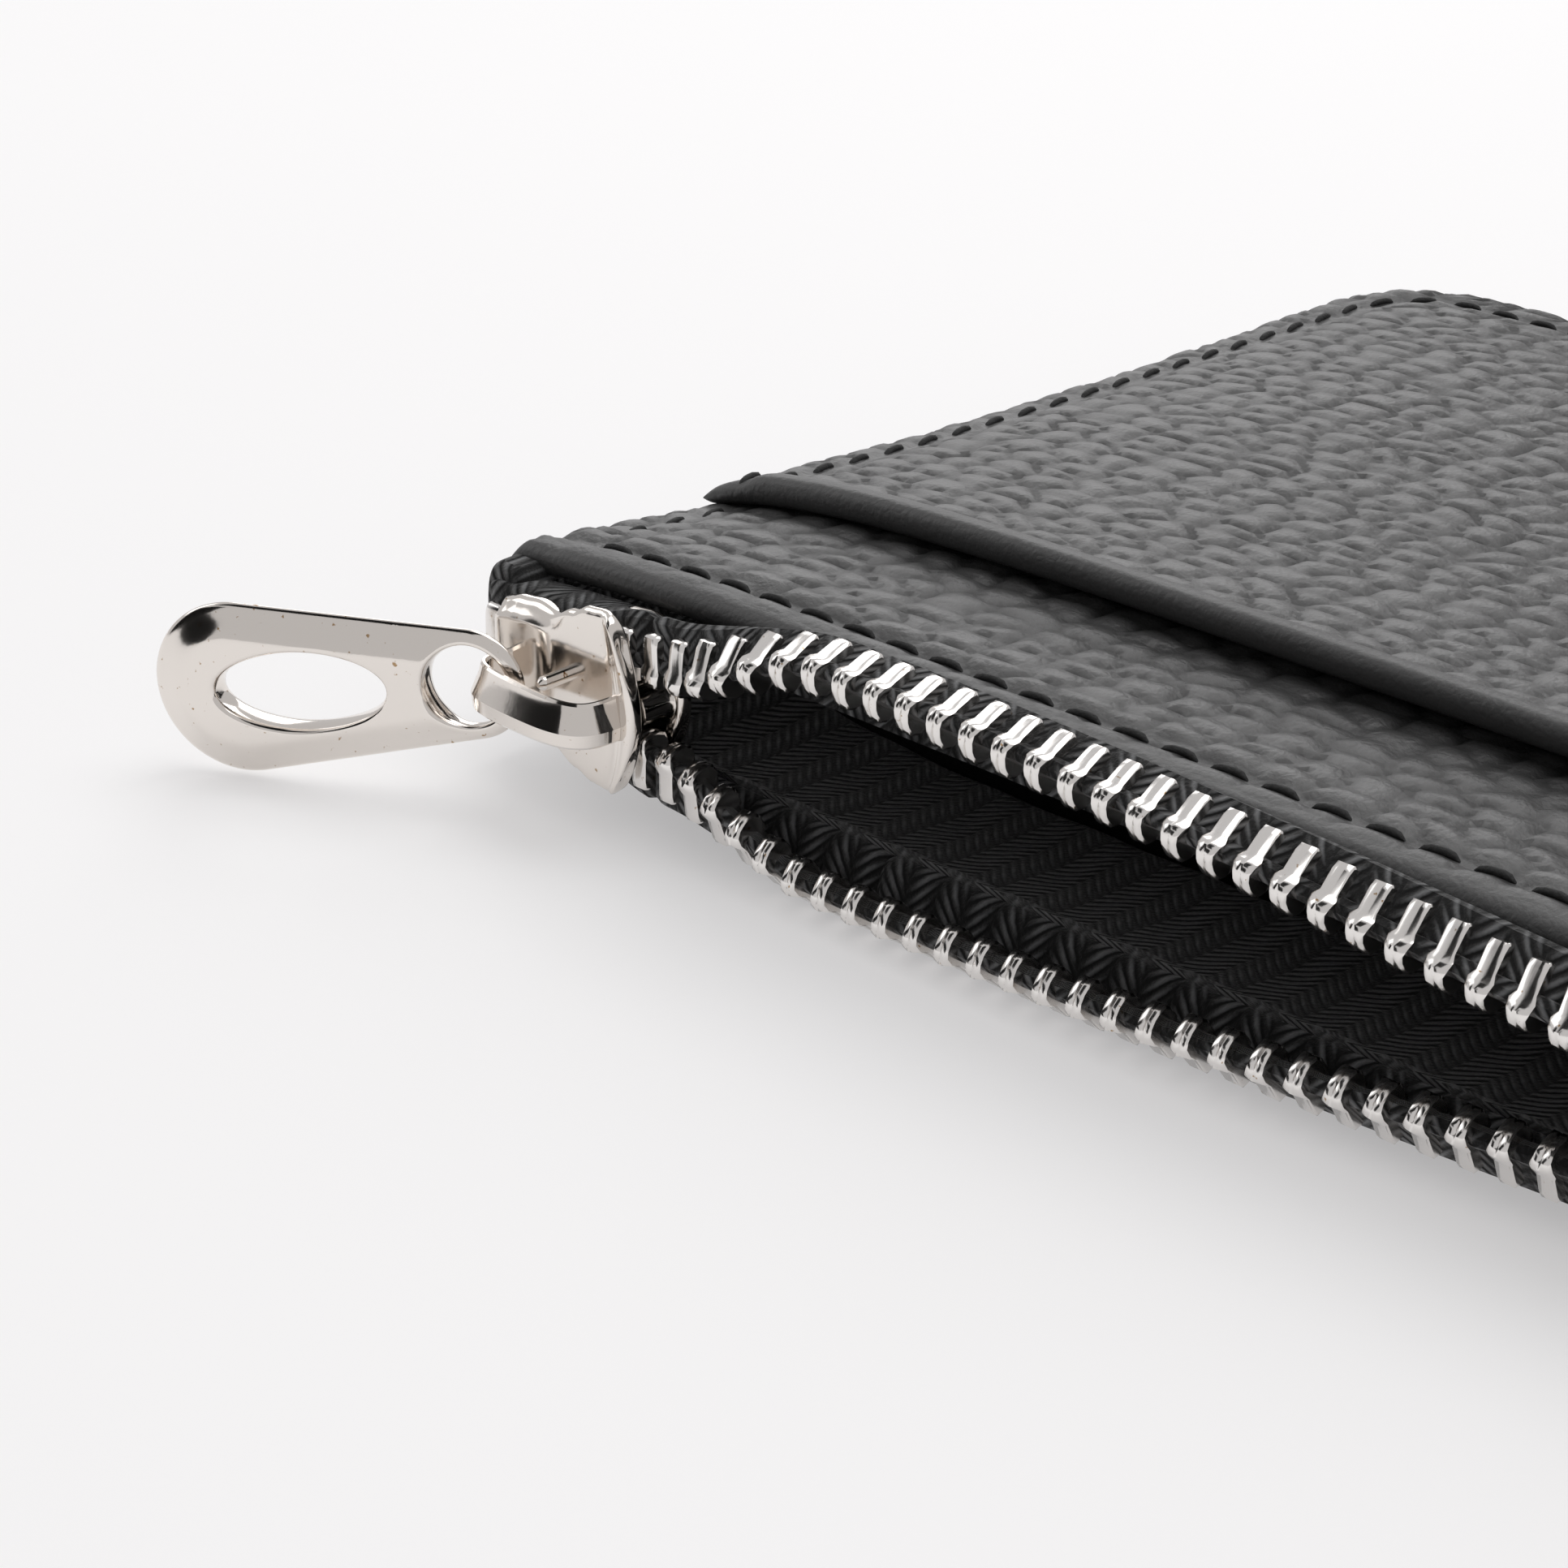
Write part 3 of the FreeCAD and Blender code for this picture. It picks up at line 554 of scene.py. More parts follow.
def pebbles(x, y):
    """The grain, 0 in a crease to 1: 1 - exp(-(second distance - first) / crease width)."""
    gx, gy = x / (PEBBLE * 1.25) + 40, y / (PEBBLE * 0.8) + 40 + 0.12 * np.sin(x / 7)
    near = np.full(x.shape, 9.0)
    next_near = np.full(x.shape, 9.0)
    for i in (-1, 0, 1):
        for j in (-1, 0, 1):
            cx, cy = np.floor(gx) + i, np.floor(gy) + j
            seed = scatter[cx.astype(int) % 96, cy.astype(int) % 96]
            far = np.hypot(cx + seed[..., 0] - gx, cy + seed[..., 1] - gy)
            next_near = np.minimum(next_near, np.maximum(near, far))
            near = np.minimum(near, far)
    return 1 - np.exp(-(next_near - near) / 0.2)


def stations(start, stop, edge, step):
    """Places from start to stop: close together over each rounded edge, evenly between."""
    turn = np.linspace(0, math.pi / 2, 6)[:-1]
    bend = edge * (1 - np.cos(turn))
    count = max(int((stop - start - 2 * edge) / step), 2)
    middle = np.linspace(start + edge, stop - edge, count + 1)
    return np.concatenate([start + bend, middle, (stop - bend)[::-1]])


def rounded(distance, radius):
    """Share of the full thickness at a distance from an edge: a quarter circle."""
    return np.sqrt(np.maximum(0, 1 - (1 - np.clip(distance / radius, 0, 1)) ** 2))


def leather_grid(xs, ys, inset=0.0):
    """Grid of x and y over a panel, squeezed in at the far corners, with its edge distances."""
    share, y = np.meshgrid(xs / (HALF - inset), ys, indexing="ij")
    wide = half_width(y, inset)
    return share * wide, y, wide * (1 - np.abs(share))


def leather_sheet(x, y, side, middle, thick, front, edge, detail_up, detail_down):
    """Two faces round a middle surface, meeting in a rounded edge on all four sides."""
    far = FAR - y
    share = rounded(side, edge) * rounded(y - front, edge) * rounded(far, edge)
    up = middle + share * (thick / 2 + detail_up)
    down = middle - share * (thick / 2 + detail_down)
    return np.stack([x, y, up], axis=2), np.stack([x, y, down], axis=2)


# %% [markdown]
# ## Stitch lines
# Thread sinks into leather. Each line of stitches has a shallow groove and, at every stitch, a pit
# with the leather swelling between. The same places are used later for the thread itself.

# %% Stitch lines
STITCH = 3.0
LIP_STITCH = 2.9
HEM_STITCH = 2.6
EDGE_STITCH = 3.0


def stitch_line(run, distance, depth=0.22):
    """Groove along a line and a pit at each stitch: run along it, distance from it."""
    beat = 0.5 + 0.5 * np.cos(2 * math.pi * run / STITCH)
    return -depth * hump(distance, 0.55) * (0.55 + 0.75 * beat)


def seam_detail(x, y, side):
    """Groove of the perimeter stitches, and the swell outside it."""
    far = FAR - y
    nearest = np.minimum(side, far)
    run = np.where(side < far, y, x)
    return stitch_line(run, nearest - EDGE_STITCH) + 0.12 * hump(nearest - 1.2, 0.9)


# %% [markdown]
# ## Front and back panels
# Each panel is one sheet of leather with its zip edge turned under, which makes the lip thicker and
# rounder than the cut edges.

# %% Panels
def lip_thick(y):
    """Leather thickness: doubled where the edge is turned under."""
    return LEATHER_THICK + (TURNED_THICK - LEATHER_THICK) * (1 - smooth((y - LIP - 3.4) / 1.2))


def pocket_thick(x, y):
    """Pocket thickness: doubled behind the hem, and pressed thin into the side seams."""
    turned = 1 - smooth((y - HEM - 1.5) / 1.1)
    return 1.0 + 0.85 * turned * (1 - smooth((np.abs(x) - HALF + 5.0) / 4.5))


def make_front_panel():
    xs = stations(-HALF, HALF, 0.85, 0.45)
    fine = stations(LIP, HEM + 4, 0.85, 0.42)[:-5]
    ys = np.concatenate([fine, stations(HEM + 5.5, FAR, 0.85, 2.5)[5:]])
    x, y, side = leather_grid(xs, ys)
    depth = y - LIP
    thick = lip_thick(y)
    middle = top_face(x, y) - thick / 2
    open_zone = 1 - smooth((y - HEM - 2) / 3)
    grain = pebbles(x, y)
    crown = PLAIN_CROWN + (grain - PLAIN_CROWN) * smooth((depth - 0.8) / 1.2)
    rise = PEBBLE_RISE * (crown - PLAIN_CROWN) * open_zone * (1 - hump(depth - LIP_STITCH, 0.8))
    swell = 0.16 * hump(depth - 1.5, 0.9) + stitch_line(x, depth - LIP_STITCH, 0.26)
    detail = rise + swell + 0.12 * hump(depth - 4.6, 1.2) + 0.6 * seam_detail(x, y, side) * open_zone
    outer, inner = leather_sheet(x, y, side, middle, thick, LIP, 0.85, detail, 0.0)
    points, faces = sheet_mesh(outer, inner)
    piece = make_piece("front_leather", points, faces, LEATHER, grain=crown)
    return settle(piece, "root", "leather", "front_panel")


def make_back_panel():
    xs = stations(-HALF, HALF, 0.55, 1.0)
    ys = stations(LIP, FAR, 0.55, 1.0)
    x, y, side = leather_grid(xs, ys)
    thick = lip_thick(y)
    middle = under_face(x, y) + thick / 2
    lift = smooth(under_face(x, y) / 0.3)
    crown = pebbles(x, y)
    rise = PEBBLE_RISE * (crown - PLAIN_CROWN) * lift * 0.6
    outer, inner = leather_sheet(x, y, side, middle, thick, LIP, 0.55, 0.0, rise)
    points, faces = sheet_mesh(outer, inner)
    piece = make_piece("back_leather", points, faces, LEATHER, grain=crown)
    return settle(piece, "root", "leather", "back_panel")


def make_pocket():
    xs = stations(POCKET_INSET - HALF, HALF - POCKET_INSET, 0.8, 0.46)
    ys = stations(HEM, FAR - POCKET_INSET, 0.8, 0.42)
    x, y, side = leather_grid(xs, ys, POCKET_INSET)
    depth = y - HEM
    thick = pocket_thick(x, y)
    middle = pocket_under(x, y) + thick / 2
    crown = PLAIN_CROWN + (pebbles(x, y) - PLAIN_CROWN) * smooth((depth - 1.6) / 1.0)
    seam = hump(np.minimum(side, FAR - y) - EDGE_STITCH, 0.8)
    detail = PEBBLE_RISE * (crown - PLAIN_CROWN) * (1 - seam)
    detail = detail + stitch_line(x, depth - HEM_STITCH, 0.26) + seam_detail(x, y, side)
    outer, inner = leather_sheet(x, y, side, middle, thick, HEM, 0.8, detail, 0.0)
    points, faces = sheet_mesh(outer, inner)
    piece = make_piece("pocket_leather", points, faces, LEATHER, grain=crown)
    return settle(piece, "root", "leather", "card_pocket")


make_front_panel()
make_back_panel()
make_pocket()

# %% [markdown]
# ## Linings
# Each panel is lined with one flat cloth, a little smaller than the panel and held stretched by
# the seams, so it is a thin sheet that follows the panel's inner face.

# %% Linings
LINING = 0.26
LINING_INSET = 0.4
LINING_START = LIP + 4.6


def make_lining(name, node, face, direction):
    """A thin cloth just inside a panel, from behind the turned lip to the far seam."""
    inset = LINING_INSET
    xs = stations(inset - HALF, HALF - inset, LINING / 2, 3.0)
    ys = stations(LINING_START, FAR - inset, LINING / 2, 3.0)
    x, y, side = leather_grid(xs, ys, inset)
    middle = face(x, y) + direction * (LEATHER_THICK + 0.02 + LINING / 2)
    share = rounded(side, LINING / 2) * rounded(y - LINING_START, LINING / 2)
    share = share * rounded(FAR - inset - y, LINING / 2) * LINING / 2
    upper = np.stack([x, y, middle + share], axis=2)
    lower = np.stack([x, y, middle - share], axis=2)
    points, faces = sheet_mesh(upper, lower)
    uv = points[:, :2]
    piece = settle(make_piece(name, points, faces, CLOTH, uv), "root", "lining", node)
    return piece


make_lining("front_cloth", "front_lining", top_face, -1)
make_lining("back_cloth", "back_lining", under_face, 1)

# %% [markdown]
# ## The zip's rows
# Each row is a tape with a beaded edge that carries the teeth. Closed, both rows hang straight.
# Open, a row stands away from the middle and turns outwards about the lip. A row is built in four
# lengths, each lying between two bodies that its entry in the table of lengths names.

# %% Row shape
slider_low, slider_high = low_high("slider_body")
SLIDER_X = (slider_low[0] + slider_high[0]) / 2
CHAIN_Y = (slider_low[1] + slider_high[1]) / 2
CHAIN_Z = (slider_low[2] + slider_high[2]) / 2
PITCH = 2.1
CHAIN_HALF = 2.9
LIFT = 1.7
SWING = {1: 75.0, -1: 52.0}
OPEN_START, OPEN_END = -54.0, -47.5
WIDE_START, WIDE_END = -34.0, -31.0
CLOSE_START, CLOSE_END = 42.0, 54.0
PIVOT_HEIGHT = 5.2
LOWER_DRAW = 1.4
DRAW_CENTRE, DRAW_REACH = 18.0, 22.0


def lift_share(x):
    opening = smooth((x - OPEN_START) / (OPEN_END - OPEN_START))
    return opening * (1 - smooth((x - CLOSE_START) / (CLOSE_END - CLOSE_START)))


def swing_share(x):
    opening = smooth((x - OPEN_END) / (WIDE_START - OPEN_END))
    return opening * (1 - smooth((x - WIDE_END) / (CLOSE_START - WIDE_END)))


def row_point(x, along, out, side):
    """A point of a row: along the tooth from its back, and out of the tape's face.

    The straight row is raised, then turned about the lip, and mirrored for the lower row.
    """
    x, along, out = np.broadcast_arrays(np.asarray(x, float), along, out)
    dy = CHAIN_Y - out - LIP
    dz = CHAIN_HALF - along + LIFT * lift_share(x) - PIVOT_HEIGHT
    turn = math.radians(SWING[side]) * swing_share(x)
    drawn = LOWER_DRAW * hump(x - DRAW_CENTRE, DRAW_REACH) * (side < 0)
    y = LIP + dy * np.cos(turn) + dz * np.sin(turn) + drawn
    height = PIVOT_HEIGHT - dy * np.sin(turn) + dz * np.cos(turn)
    return np.stack([x, y, CHAIN_Z + side * height], axis=-1)


ZONES = {
    "left": (-HALF + 0.6, OPEN_END, "root", "lip", OPEN_START, OPEN_END),
    "turning": (OPEN_END, -32.5, "lip", "row", OPEN_END, WIDE_START),
    "open": (-32.5, CLOSE_START, "row", "lip", WIDE_END, CLOSE_START),
    "right": (CLOSE_START, HALF - 0.6, "lip", "root", CLOSE_START, CLOSE_END),
}


def follow(piece, side, node):
    """Stand a length of a row for its imported node, with its place baked into its points."""
    name = "upper_" if side > 0 else "lower_"
    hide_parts(name + node)
    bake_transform(piece)
    return piece


# %% [markdown]
# ## Tapes
# The moving part of a tape comes out from behind the lip, goes round it and carries the bead. Its
# path in each section is a smooth curve through a few points: a cubic spline of the kind that stays
# inside its control points.

# %% Tapes
TAPE_THICK = 0.5
SEWN_REACH = LIP + 11.5
SEWN_DROP = 2.05


def spline(control, samples):
    """Clamped cubic B-spline: each sample is a weighted mean of four neighbouring controls."""
    control = np.concatenate([control[:1], control[:1], control, control[-1:], control[-1:]])
    spans = len(control) - 3
    t = np.linspace(0, spans - 1e-9, samples)
    k = t.astype(int)
    f = (t - k)[:, None, None]
    weights = ((1 - f) ** 3, 3 * f**3 - 6 * f**2 + 4, -3 * f**3 + 3 * f**2 + 3 * f + 1, f**3)
    return sum(w * control[k + i] for i, w in enumerate(weights)) / 6


def ribbon(path, thick):
    """A strip of cloth from its middle line in each section: path is (along, across, 3)."""
    run = np.gradient(path, axis=1)
    normal = np.stack([np.zeros(run.shape[:2]), -run[..., 2], run[..., 1]], axis=2)
    normal = normal / np.linalg.norm(normal, axis=2, keepdims=True)
    step = np.linalg.norm(np.diff(path, axis=1), axis=2)
    travel = np.concatenate([np.zeros((len(path), 1)), np.cumsum(step, axis=1)], axis=1)
    edge = np.minimum(travel, travel[:, -1:] - travel)
    share = rounded(edge, thick / 2)[..., None] * thick / 2
    share[0], share[-1] = 0, 0
    points, faces = sheet_mesh(path + normal * share, path - normal * share)
    uv = np.stack([path[..., 0], travel], axis=2).reshape(-1, 2)
    return points, faces, np.concatenate([uv, uv])


def panel_inside(x, y, side):
    """Where the sewn tape lies, inside the panel."""
    if side > 0:
        return top_face(x, y) - SEWN_DROP
    return under_face(x, y) + SEWN_DROP


def tape_path(x, side):
    """Middle line of the moving tape at each x: behind the lip, round it and out to the bead."""
    inside = panel_inside(x, np.full_like(x, LIP), side) - side * 0.1
    rows = [(x, np.full_like(x, LIP + 0.5), inside), (x, np.full_like(x, LIP + 0.1), inside)]
    points = [np.stack(r, axis=1) for r in rows]
    points.append(np.stack([x, np.full_like(x, LIP - 0.6), inside + side * 0.25], axis=1))
    points += [row_point(x, a, 0.0, side) for a in (-0.9, -0.2, 0.6, 1.75)]
    return np.transpose(spline(np.array(points), 22), (1, 0, 2))


def make_tape(side, zone):
    start, stop = ZONES[zone][:2]
    x = np.linspace(start, stop, max(int((stop - start) / 0.6), 4))
    points, faces, uv = ribbon(tape_path(x, side), TAPE_THICK)
    name = ("upper" if side > 0 else "lower") + "_tape_" + zone
    return follow(make_piece(name, points, faces, TAPE, uv), side, "tape")


def make_sewn_tape(side):
    """The part of a tape that is sewn flat inside the panel, its front edge turned to the mouth."""
    x = np.linspace(-HALF + 1.6, HALF - 1.6, 130)
    y = np.linspace(SEWN_REACH, LIP - 0.05, 22)
    grid_x, grid_y = np.meshgrid(x, y, indexing="ij")
    z = panel_inside(grid_x, grid_y, side)
    z = z - side * 1.3 * smooth((LIP + 1.2 - grid_y) / 1.2) * (1 if side > 0 else 0.75)
    z = z + 0.05 * np.sin(grid_x * 0.9 + grid_y) * smooth((grid_y - LIP) / 3)
    path = np.stack([grid_x, grid_y, z], axis=2)
    points, faces, uv = ribbon(path, TAPE_THICK)
    name = ("upper" if side > 0 else "lower") + "_tape_sewn"
    return settle(make_piece(name, points, faces, TAPE, uv), "root", "zip_tape")


for hand in (1, -1):
    make_sewn_tape(hand)
    for part in ZONES:
        make_tape(hand, part)
print("tapes made")

# %% [markdown]
# ## Edge cords
# A cord is woven into each tape's edge for the teeth to grip. It is a run of round rings, each
# placed on the row at its own x.

# %% Edge cords
BEAD = 0.55


def make_bead(side, zone):
    """Round cord woven into the tape's edge, between the teeth's legs."""
    start, stop = ZONES[zone][:2]
    start, stop = max(start, -59.5), min(stop, 55.0)
    x = np.linspace(start, stop, int((stop - start) / 0.5))
    turn = np.linspace(0, 2 * math.pi, 9)[:-1]
    rings = row_point(x[:, None], 1.85 + BEAD * np.cos(turn), BEAD * np.sin(turn), side)
    points, faces = bar_mesh(rings)
    uv = np.stack([points[:, 0], np.tile(turn * BEAD, len(x))], axis=1)
    name = ("upper" if side > 0 else "lower") + "_edge_cord_" + zone
    return follow(make_piece(name, points, faces, TAPE, uv), side, "edge_cord")


for hand in (1, -1):
    for part in ZONES:
        make_bead(hand, part)
print("edge cords made")

# %% [markdown]
# ## Teeth
# A tooth is a side profile carried across its width. The legs grip the tape, the neck is narrower,
# and the head swells to a rounded nose with a groove down its front and a raised nib on top.

# %% Teeth
FIRST_TOOTH = slider_low[0] + 0.6
LAST_TOOTH = 52.5
PROFILE = np.array([
    (0.0, -0.78), (0.7, -0.86), (1.6, -0.82), (2.05, -0.95), (2.6, -1.0), (2.98, -0.82),
    (3.12, -0.4), (3.14, 0.1), (3.06, 0.55), (2.86, 0.88), (2.5, 1.02), (2.1, 0.95),
    (1.7, 0.84), (0.5, 0.88), (0.12, 0.8), (0.0, 0.5),
])
WIDTH_PLACES = (0.0, 1.4, 1.8, 2.15, 2.4, 2.66, 3.2)
WIDTHS = (0.50, 0.52, 0.48, 0.70, 0.68, 0.51, 0.42)


def tooth_points():
    """The profile at seven places across the width, drawn in at the sides and down the middle."""
    columns = np.array([-1.0, -0.8, -0.22, 0.0, 0.22, 0.8, 1.0])
    inset = np.array([0.10, 0.0, 0.0, 0.0, 0.0, 0.0, 0.10])
    along, out = PROFILE[:, 0], PROFILE[:, 1]
    wide = np.interp(along, WIDTH_PLACES, WIDTHS)
    groove = 0.16 * (columns == 0)[:, None] * smooth((along - 2.7) / 0.3)
    nib = 0.16 * hump(columns[:, None], 0.5) * hump(along - 2.4, 0.35) * (out > 0)
    centre_along = 1.6
    s = along - inset[:, None] * np.sign(along - centre_along) - groove
    o = out - inset[:, None] * np.sign(out) + nib
    return s, columns[:, None] * wide, o


def make_teeth(side, zone):
    start, stop = ZONES[zone][:2]
    shift = 0.0 if side > 0 else PITCH / 2
    places = np.arange(FIRST_TOOTH + shift, LAST_TOOTH, PITCH)
    places = places[(places >= start) & (places < stop)]
    s, across_zip, o = tooth_points()
    parts = []
    for x in places:
        back = row_point(x, 0.0, 0.0, side)
        length = row_point(x, 1.0, 0.0, side) - back
        outward = row_point(x, 0.0, 1.0, side) - back
        sideways = np.array([1.0, 0.0, 0.0])
        body = back + s[..., None] * length + across_zip[..., None] * sideways + o[..., None] * outward
        parts.append(bar_mesh(body))
    points, all_faces = joined(parts)
    name = ("upper" if side > 0 else "lower") + "_teeth_" + zone
    piece = make_piece(name, points, all_faces, TEETH, crease=50)
    return follow(piece, side, "teeth")


for hand in (1, -1):
    for part in ZONES:
        print(part, make_teeth(hand, part).name)

# %% [markdown]
# ## Thread
# One short bar of waxed thread for each stitch: thickest in the middle, arched, with both ends
# dipping into the leather. A little slant shows which way the machine laid them.

# %% Stitches
THREAD_THICK = 0.46
STITCH_SHOWN = 2.3
STITCH_SLANT = 9.0


def straight_places(y, reach):
    """Stitches along the zip: x, y and direction in degrees."""
    count = int(2 * reach / STITCH)
    x = (np.arange(count) - (count - 1) / 2) * STITCH
    return np.stack([x, np.full(count, y), np.zeros(count)], axis=1)


def edge_places():
    """Stitches up one side, round the far corners and down the other side, at equal steps."""
    radius = CORNER - EDGE_STITCH
    x, y = HALF - EDGE_STITCH, FAR - EDGE_STITCH
    side = y - radius - (LIP + 5.0)
    bend, far = radius * math.pi / 2, 2 * (x - radius)
    run = (np.arange(int((2 * side + 2 * bend + far) / STITCH)) + 0.5) * STITCH
    turn = np.clip((run - side) / radius, 0, math.pi / 2)
    turn = turn + np.clip((run - side - bend - far) / radius, 0, math.pi / 2)
    along_far = np.clip(run - side - bend, 0, far)
    along_down = np.clip(run - side - 2 * bend - far, 0, None)
    px = -x + radius - radius * np.cos(np.minimum(turn, math.pi / 2)) + along_far
    px = px + radius * np.sin(np.maximum(turn - math.pi / 2, 0))
    py = y - radius - np.clip(side - run, 0, None) + radius * np.sin(np.minimum(turn, math.pi / 2))
    py = py - radius * (1 - np.cos(np.maximum(turn - math.pi / 2, 0))) - along_down
    return np.stack([px, py, 90 - np.degrees(turn)], axis=1)


def shown_face(x, y):
    """Top of the leather under a stitch: the pocket behind the hem, the front panel before it."""
    pocket = pocket_under(x, y) + pocket_thick(x, y)
    return np.where(y > HEM + 0.5, pocket, top_face(x, y))


def make_stitches(name, node, places, face, direction=1.0):
    """Rings round each stitch's line: radius falls and height dips towards both ends."""
    t = np.linspace(-1, 1, 7)
    radius = THREAD_THICK / 2 * np.sqrt(np.maximum(1 - t**4, 0.02))
    turn = np.linspace(0, 2 * math.pi, 8)[:-1]
    parts = []
    for x, y, angle in places:
        lean = math.radians(angle + STITCH_SLANT)
        forward = np.array([math.cos(lean), math.sin(lean)])
        aside = np.array([-forward[1], forward[0]])
        line = np.array([x, y]) + t[:, None] * forward * STITCH_SHOWN / 2
        flat = line[:, None, :] + (radius[:, None] * np.cos(turn))[..., None] * aside
        sink = 0.02 - 0.36 * np.abs(t) ** 3
        height = face(np.float64(x), np.float64(y)) + direction * sink
        z = height[:, None] + radius[:, None] * np.sin(turn)
        parts.append(bar_mesh(np.concatenate([flat, z[..., None]], axis=2)))
    points, faces = joined(parts)
    return settle(make_piece(name, points, faces, THREAD, crease=70), "root", "thread", node)


def lower_face(x, y):
    """Where the lower lip's thread lies, clear of the table."""
    return under_face(x, y) + 0.3


ROW_REACH = HALF - 3.5
LIP_ROW = straight_places(LIP + LIP_STITCH, ROW_REACH)
HEM_ROW = straight_places(HEM + HEM_STITCH, ROW_REACH)
make_stitches("upper_lip_thread", "upper_zip_stitches", LIP_ROW, top_face)
make_stitches("lower_lip_thread", "lower_zip_stitches", LIP_ROW, lower_face, -1.0)
make_stitches("hem_thread", "hem_stitches", HEM_ROW, shown_face)
make_stitches("edge_thread", "edge_stitches", edge_places(), shown_face)

# %% [markdown]
# ## Slider
# The slider is cast: two plates on a wedge, with flanges that hold the rows in, an arch for the pull
# and a spring pin. Its own frame has s towards the nose, t up the zip and o out of the purse. A plate
# is a sheet whose half width changes along it and whose edges bend in towards the other plate.

# %% Slider plates
HALF_LENGTH = (slider_high[0] - slider_low[0]) / 2
PLATE = 0.8
PLATE_OUT = 1.66
PLATE_RISE = 0.09
OUTLINE_PLACES = (-5.5, -5.1, -3.9, -2.4, -0.9, 1.0, 2.4, 3.9, 4.7, 5.1, 5.35, 5.5)
OUTLINE_WIDTHS = (3.0, 3.6, 3.9, 4.05, 4.0, 4.65, 5.1, 5.2, 5.1, 4.8, 4.3, 3.5)


def eased(x, places, values):
    """Level steps between values, joined by smooth ramps."""
    places, values = np.array(places), np.array(values)
    k = np.clip(np.searchsorted(places, x) - 1, 0, len(places) - 2)
    share = smooth((x - places[k]) / (places[k + 1] - places[k]))
    return values[k] + (values[k + 1] - values[k]) * share


def slider_world(s, t, o):
    """From the slider's own frame to the row frame."""
    s, t, o = np.broadcast_arrays(s, t, o)
    return np.stack([SLIDER_X + s, CHAIN_Y - o, CHAIN_Z + t], axis=-1)


def plate_mesh(direction, size):
    """One plate: direction +1 is the outer plate, which has a raised rim round its nose."""
    lengthwise = stations(-HALF_LENGTH, HALF_LENGTH, 0.4, 0.3)
    crosswise = stations(-1, 1, 0.09, 0.06)
    s0, b = np.meshgrid(lengthwise, crosswise, indexing="ij")
    wide = eased(s0, OUTLINE_PLACES, OUTLINE_WIDTHS) * size
    s = s0 - 0.9 * b**2 * smooth(s0 / HALF_LENGTH) + 0.35 * (1 - b**2) * smooth((s0 - 3) / 2.5)
    t = b * wide * (1 + PLATE_RISE * b)
    nose = smooth((s0 - 4.0) / 0.9)
    tail = 1 - smooth((s0 + 2.6) / 3.2)
    flange = smooth((np.abs(b) - 0.78) / 0.14) * tail
    o = PLATE_OUT + 0.30 * nose * (direction > 0) - 0.7 * flange
    share = rounded(np.minimum(s0 + HALF_LENGTH, HALF_LENGTH - s0), 0.4)
    share = share * rounded((1 - np.abs(b)) * wide, 0.42)
    half = (PLATE / 2 + 0.1 * nose + 0.25 * flange) * share
    outer = slider_world(s, t, direction * (o + half))
    return sheet_mesh(outer, slider_world(s, t, direction * (o - half)))


def wedge_mesh():
    """Post between the plates at the nose: an oval at each height, flared into both plates."""
    o = np.linspace(-1.35, 1.35, 9)[:, None]
    flare = 1 + 0.25 * (o / 1.35) ** 4
    turn = np.linspace(0, 2 * math.pi, 25)[:-1]
    return bar_mesh(slider_world(3.7 + 1.5 * flare * np.cos(turn), 1.2 * flare * np.sin(turn), o))


def make_slider_body():
    points, faces = joined([plate_mesh(1, 1.0), plate_mesh(-1, 0.82), wedge_mesh()])
    piece = make_piece("slider_plates", points, faces, NICKEL, crease=60)
    return settle(piece, "slider", "nickel_slider", "slider_body")


make_slider_body()

# %% [markdown]
# ## Arch and lock pin
# The arch ties the pull to the slider: a bevelled band swept along a smooth line. The lock pin is
# a small turned pin with a domed end.

# %% Arch and lock pin
ARCH_LINE = (
    (4.35, 1.5), (4.45, 2.9), (4.1, 4.35), (2.6, 4.95), (0.6, 4.98), (-1.4, 4.9),
    (-3.3, 4.75), (-4.35, 4.2), (-4.45, 3.1), (-4.2, 1.5),
)
ARCH_THICK = 0.45


def make_arch():
    """A bevelled band carried along the arch's line, wider towards the pull's end."""
    line = spline(np.array(ARCH_LINE)[:, None, :], 60)[:, 0]
    run = np.gradient(line, axis=0)
    run = run / np.linalg.norm(run, axis=1, keepdims=True)
    normal = np.stack([run[:, 1], -run[:, 0]], axis=1)
    wide = np.interp(line[:, 0], (-4.5, 4.5), (1.42, 1.2))[:, None]
    section_t = np.array([-0.25, 0.55, 0.9, 1.0, 1.0, 0.9, -0.9, -1.0, -1.0, -0.85])
    section_n = np.array([1.15, 0.1, -0.15, -0.4, -0.7, -1.0, -1.0, -0.7, 0.5, 0.95]) * ARCH_THICK
    s = line[:, :1] + normal[:, :1] * section_n
    o = line[:, 1:] + normal[:, 1:] * section_n
    points, faces = bar_mesh(slider_world(s, wide * section_t, o))
    piece = make_piece("slider_arch_band", points, faces, NICKEL, crease=25)
    return settle(piece, "slider", "nickel_slider", "slider_arch")


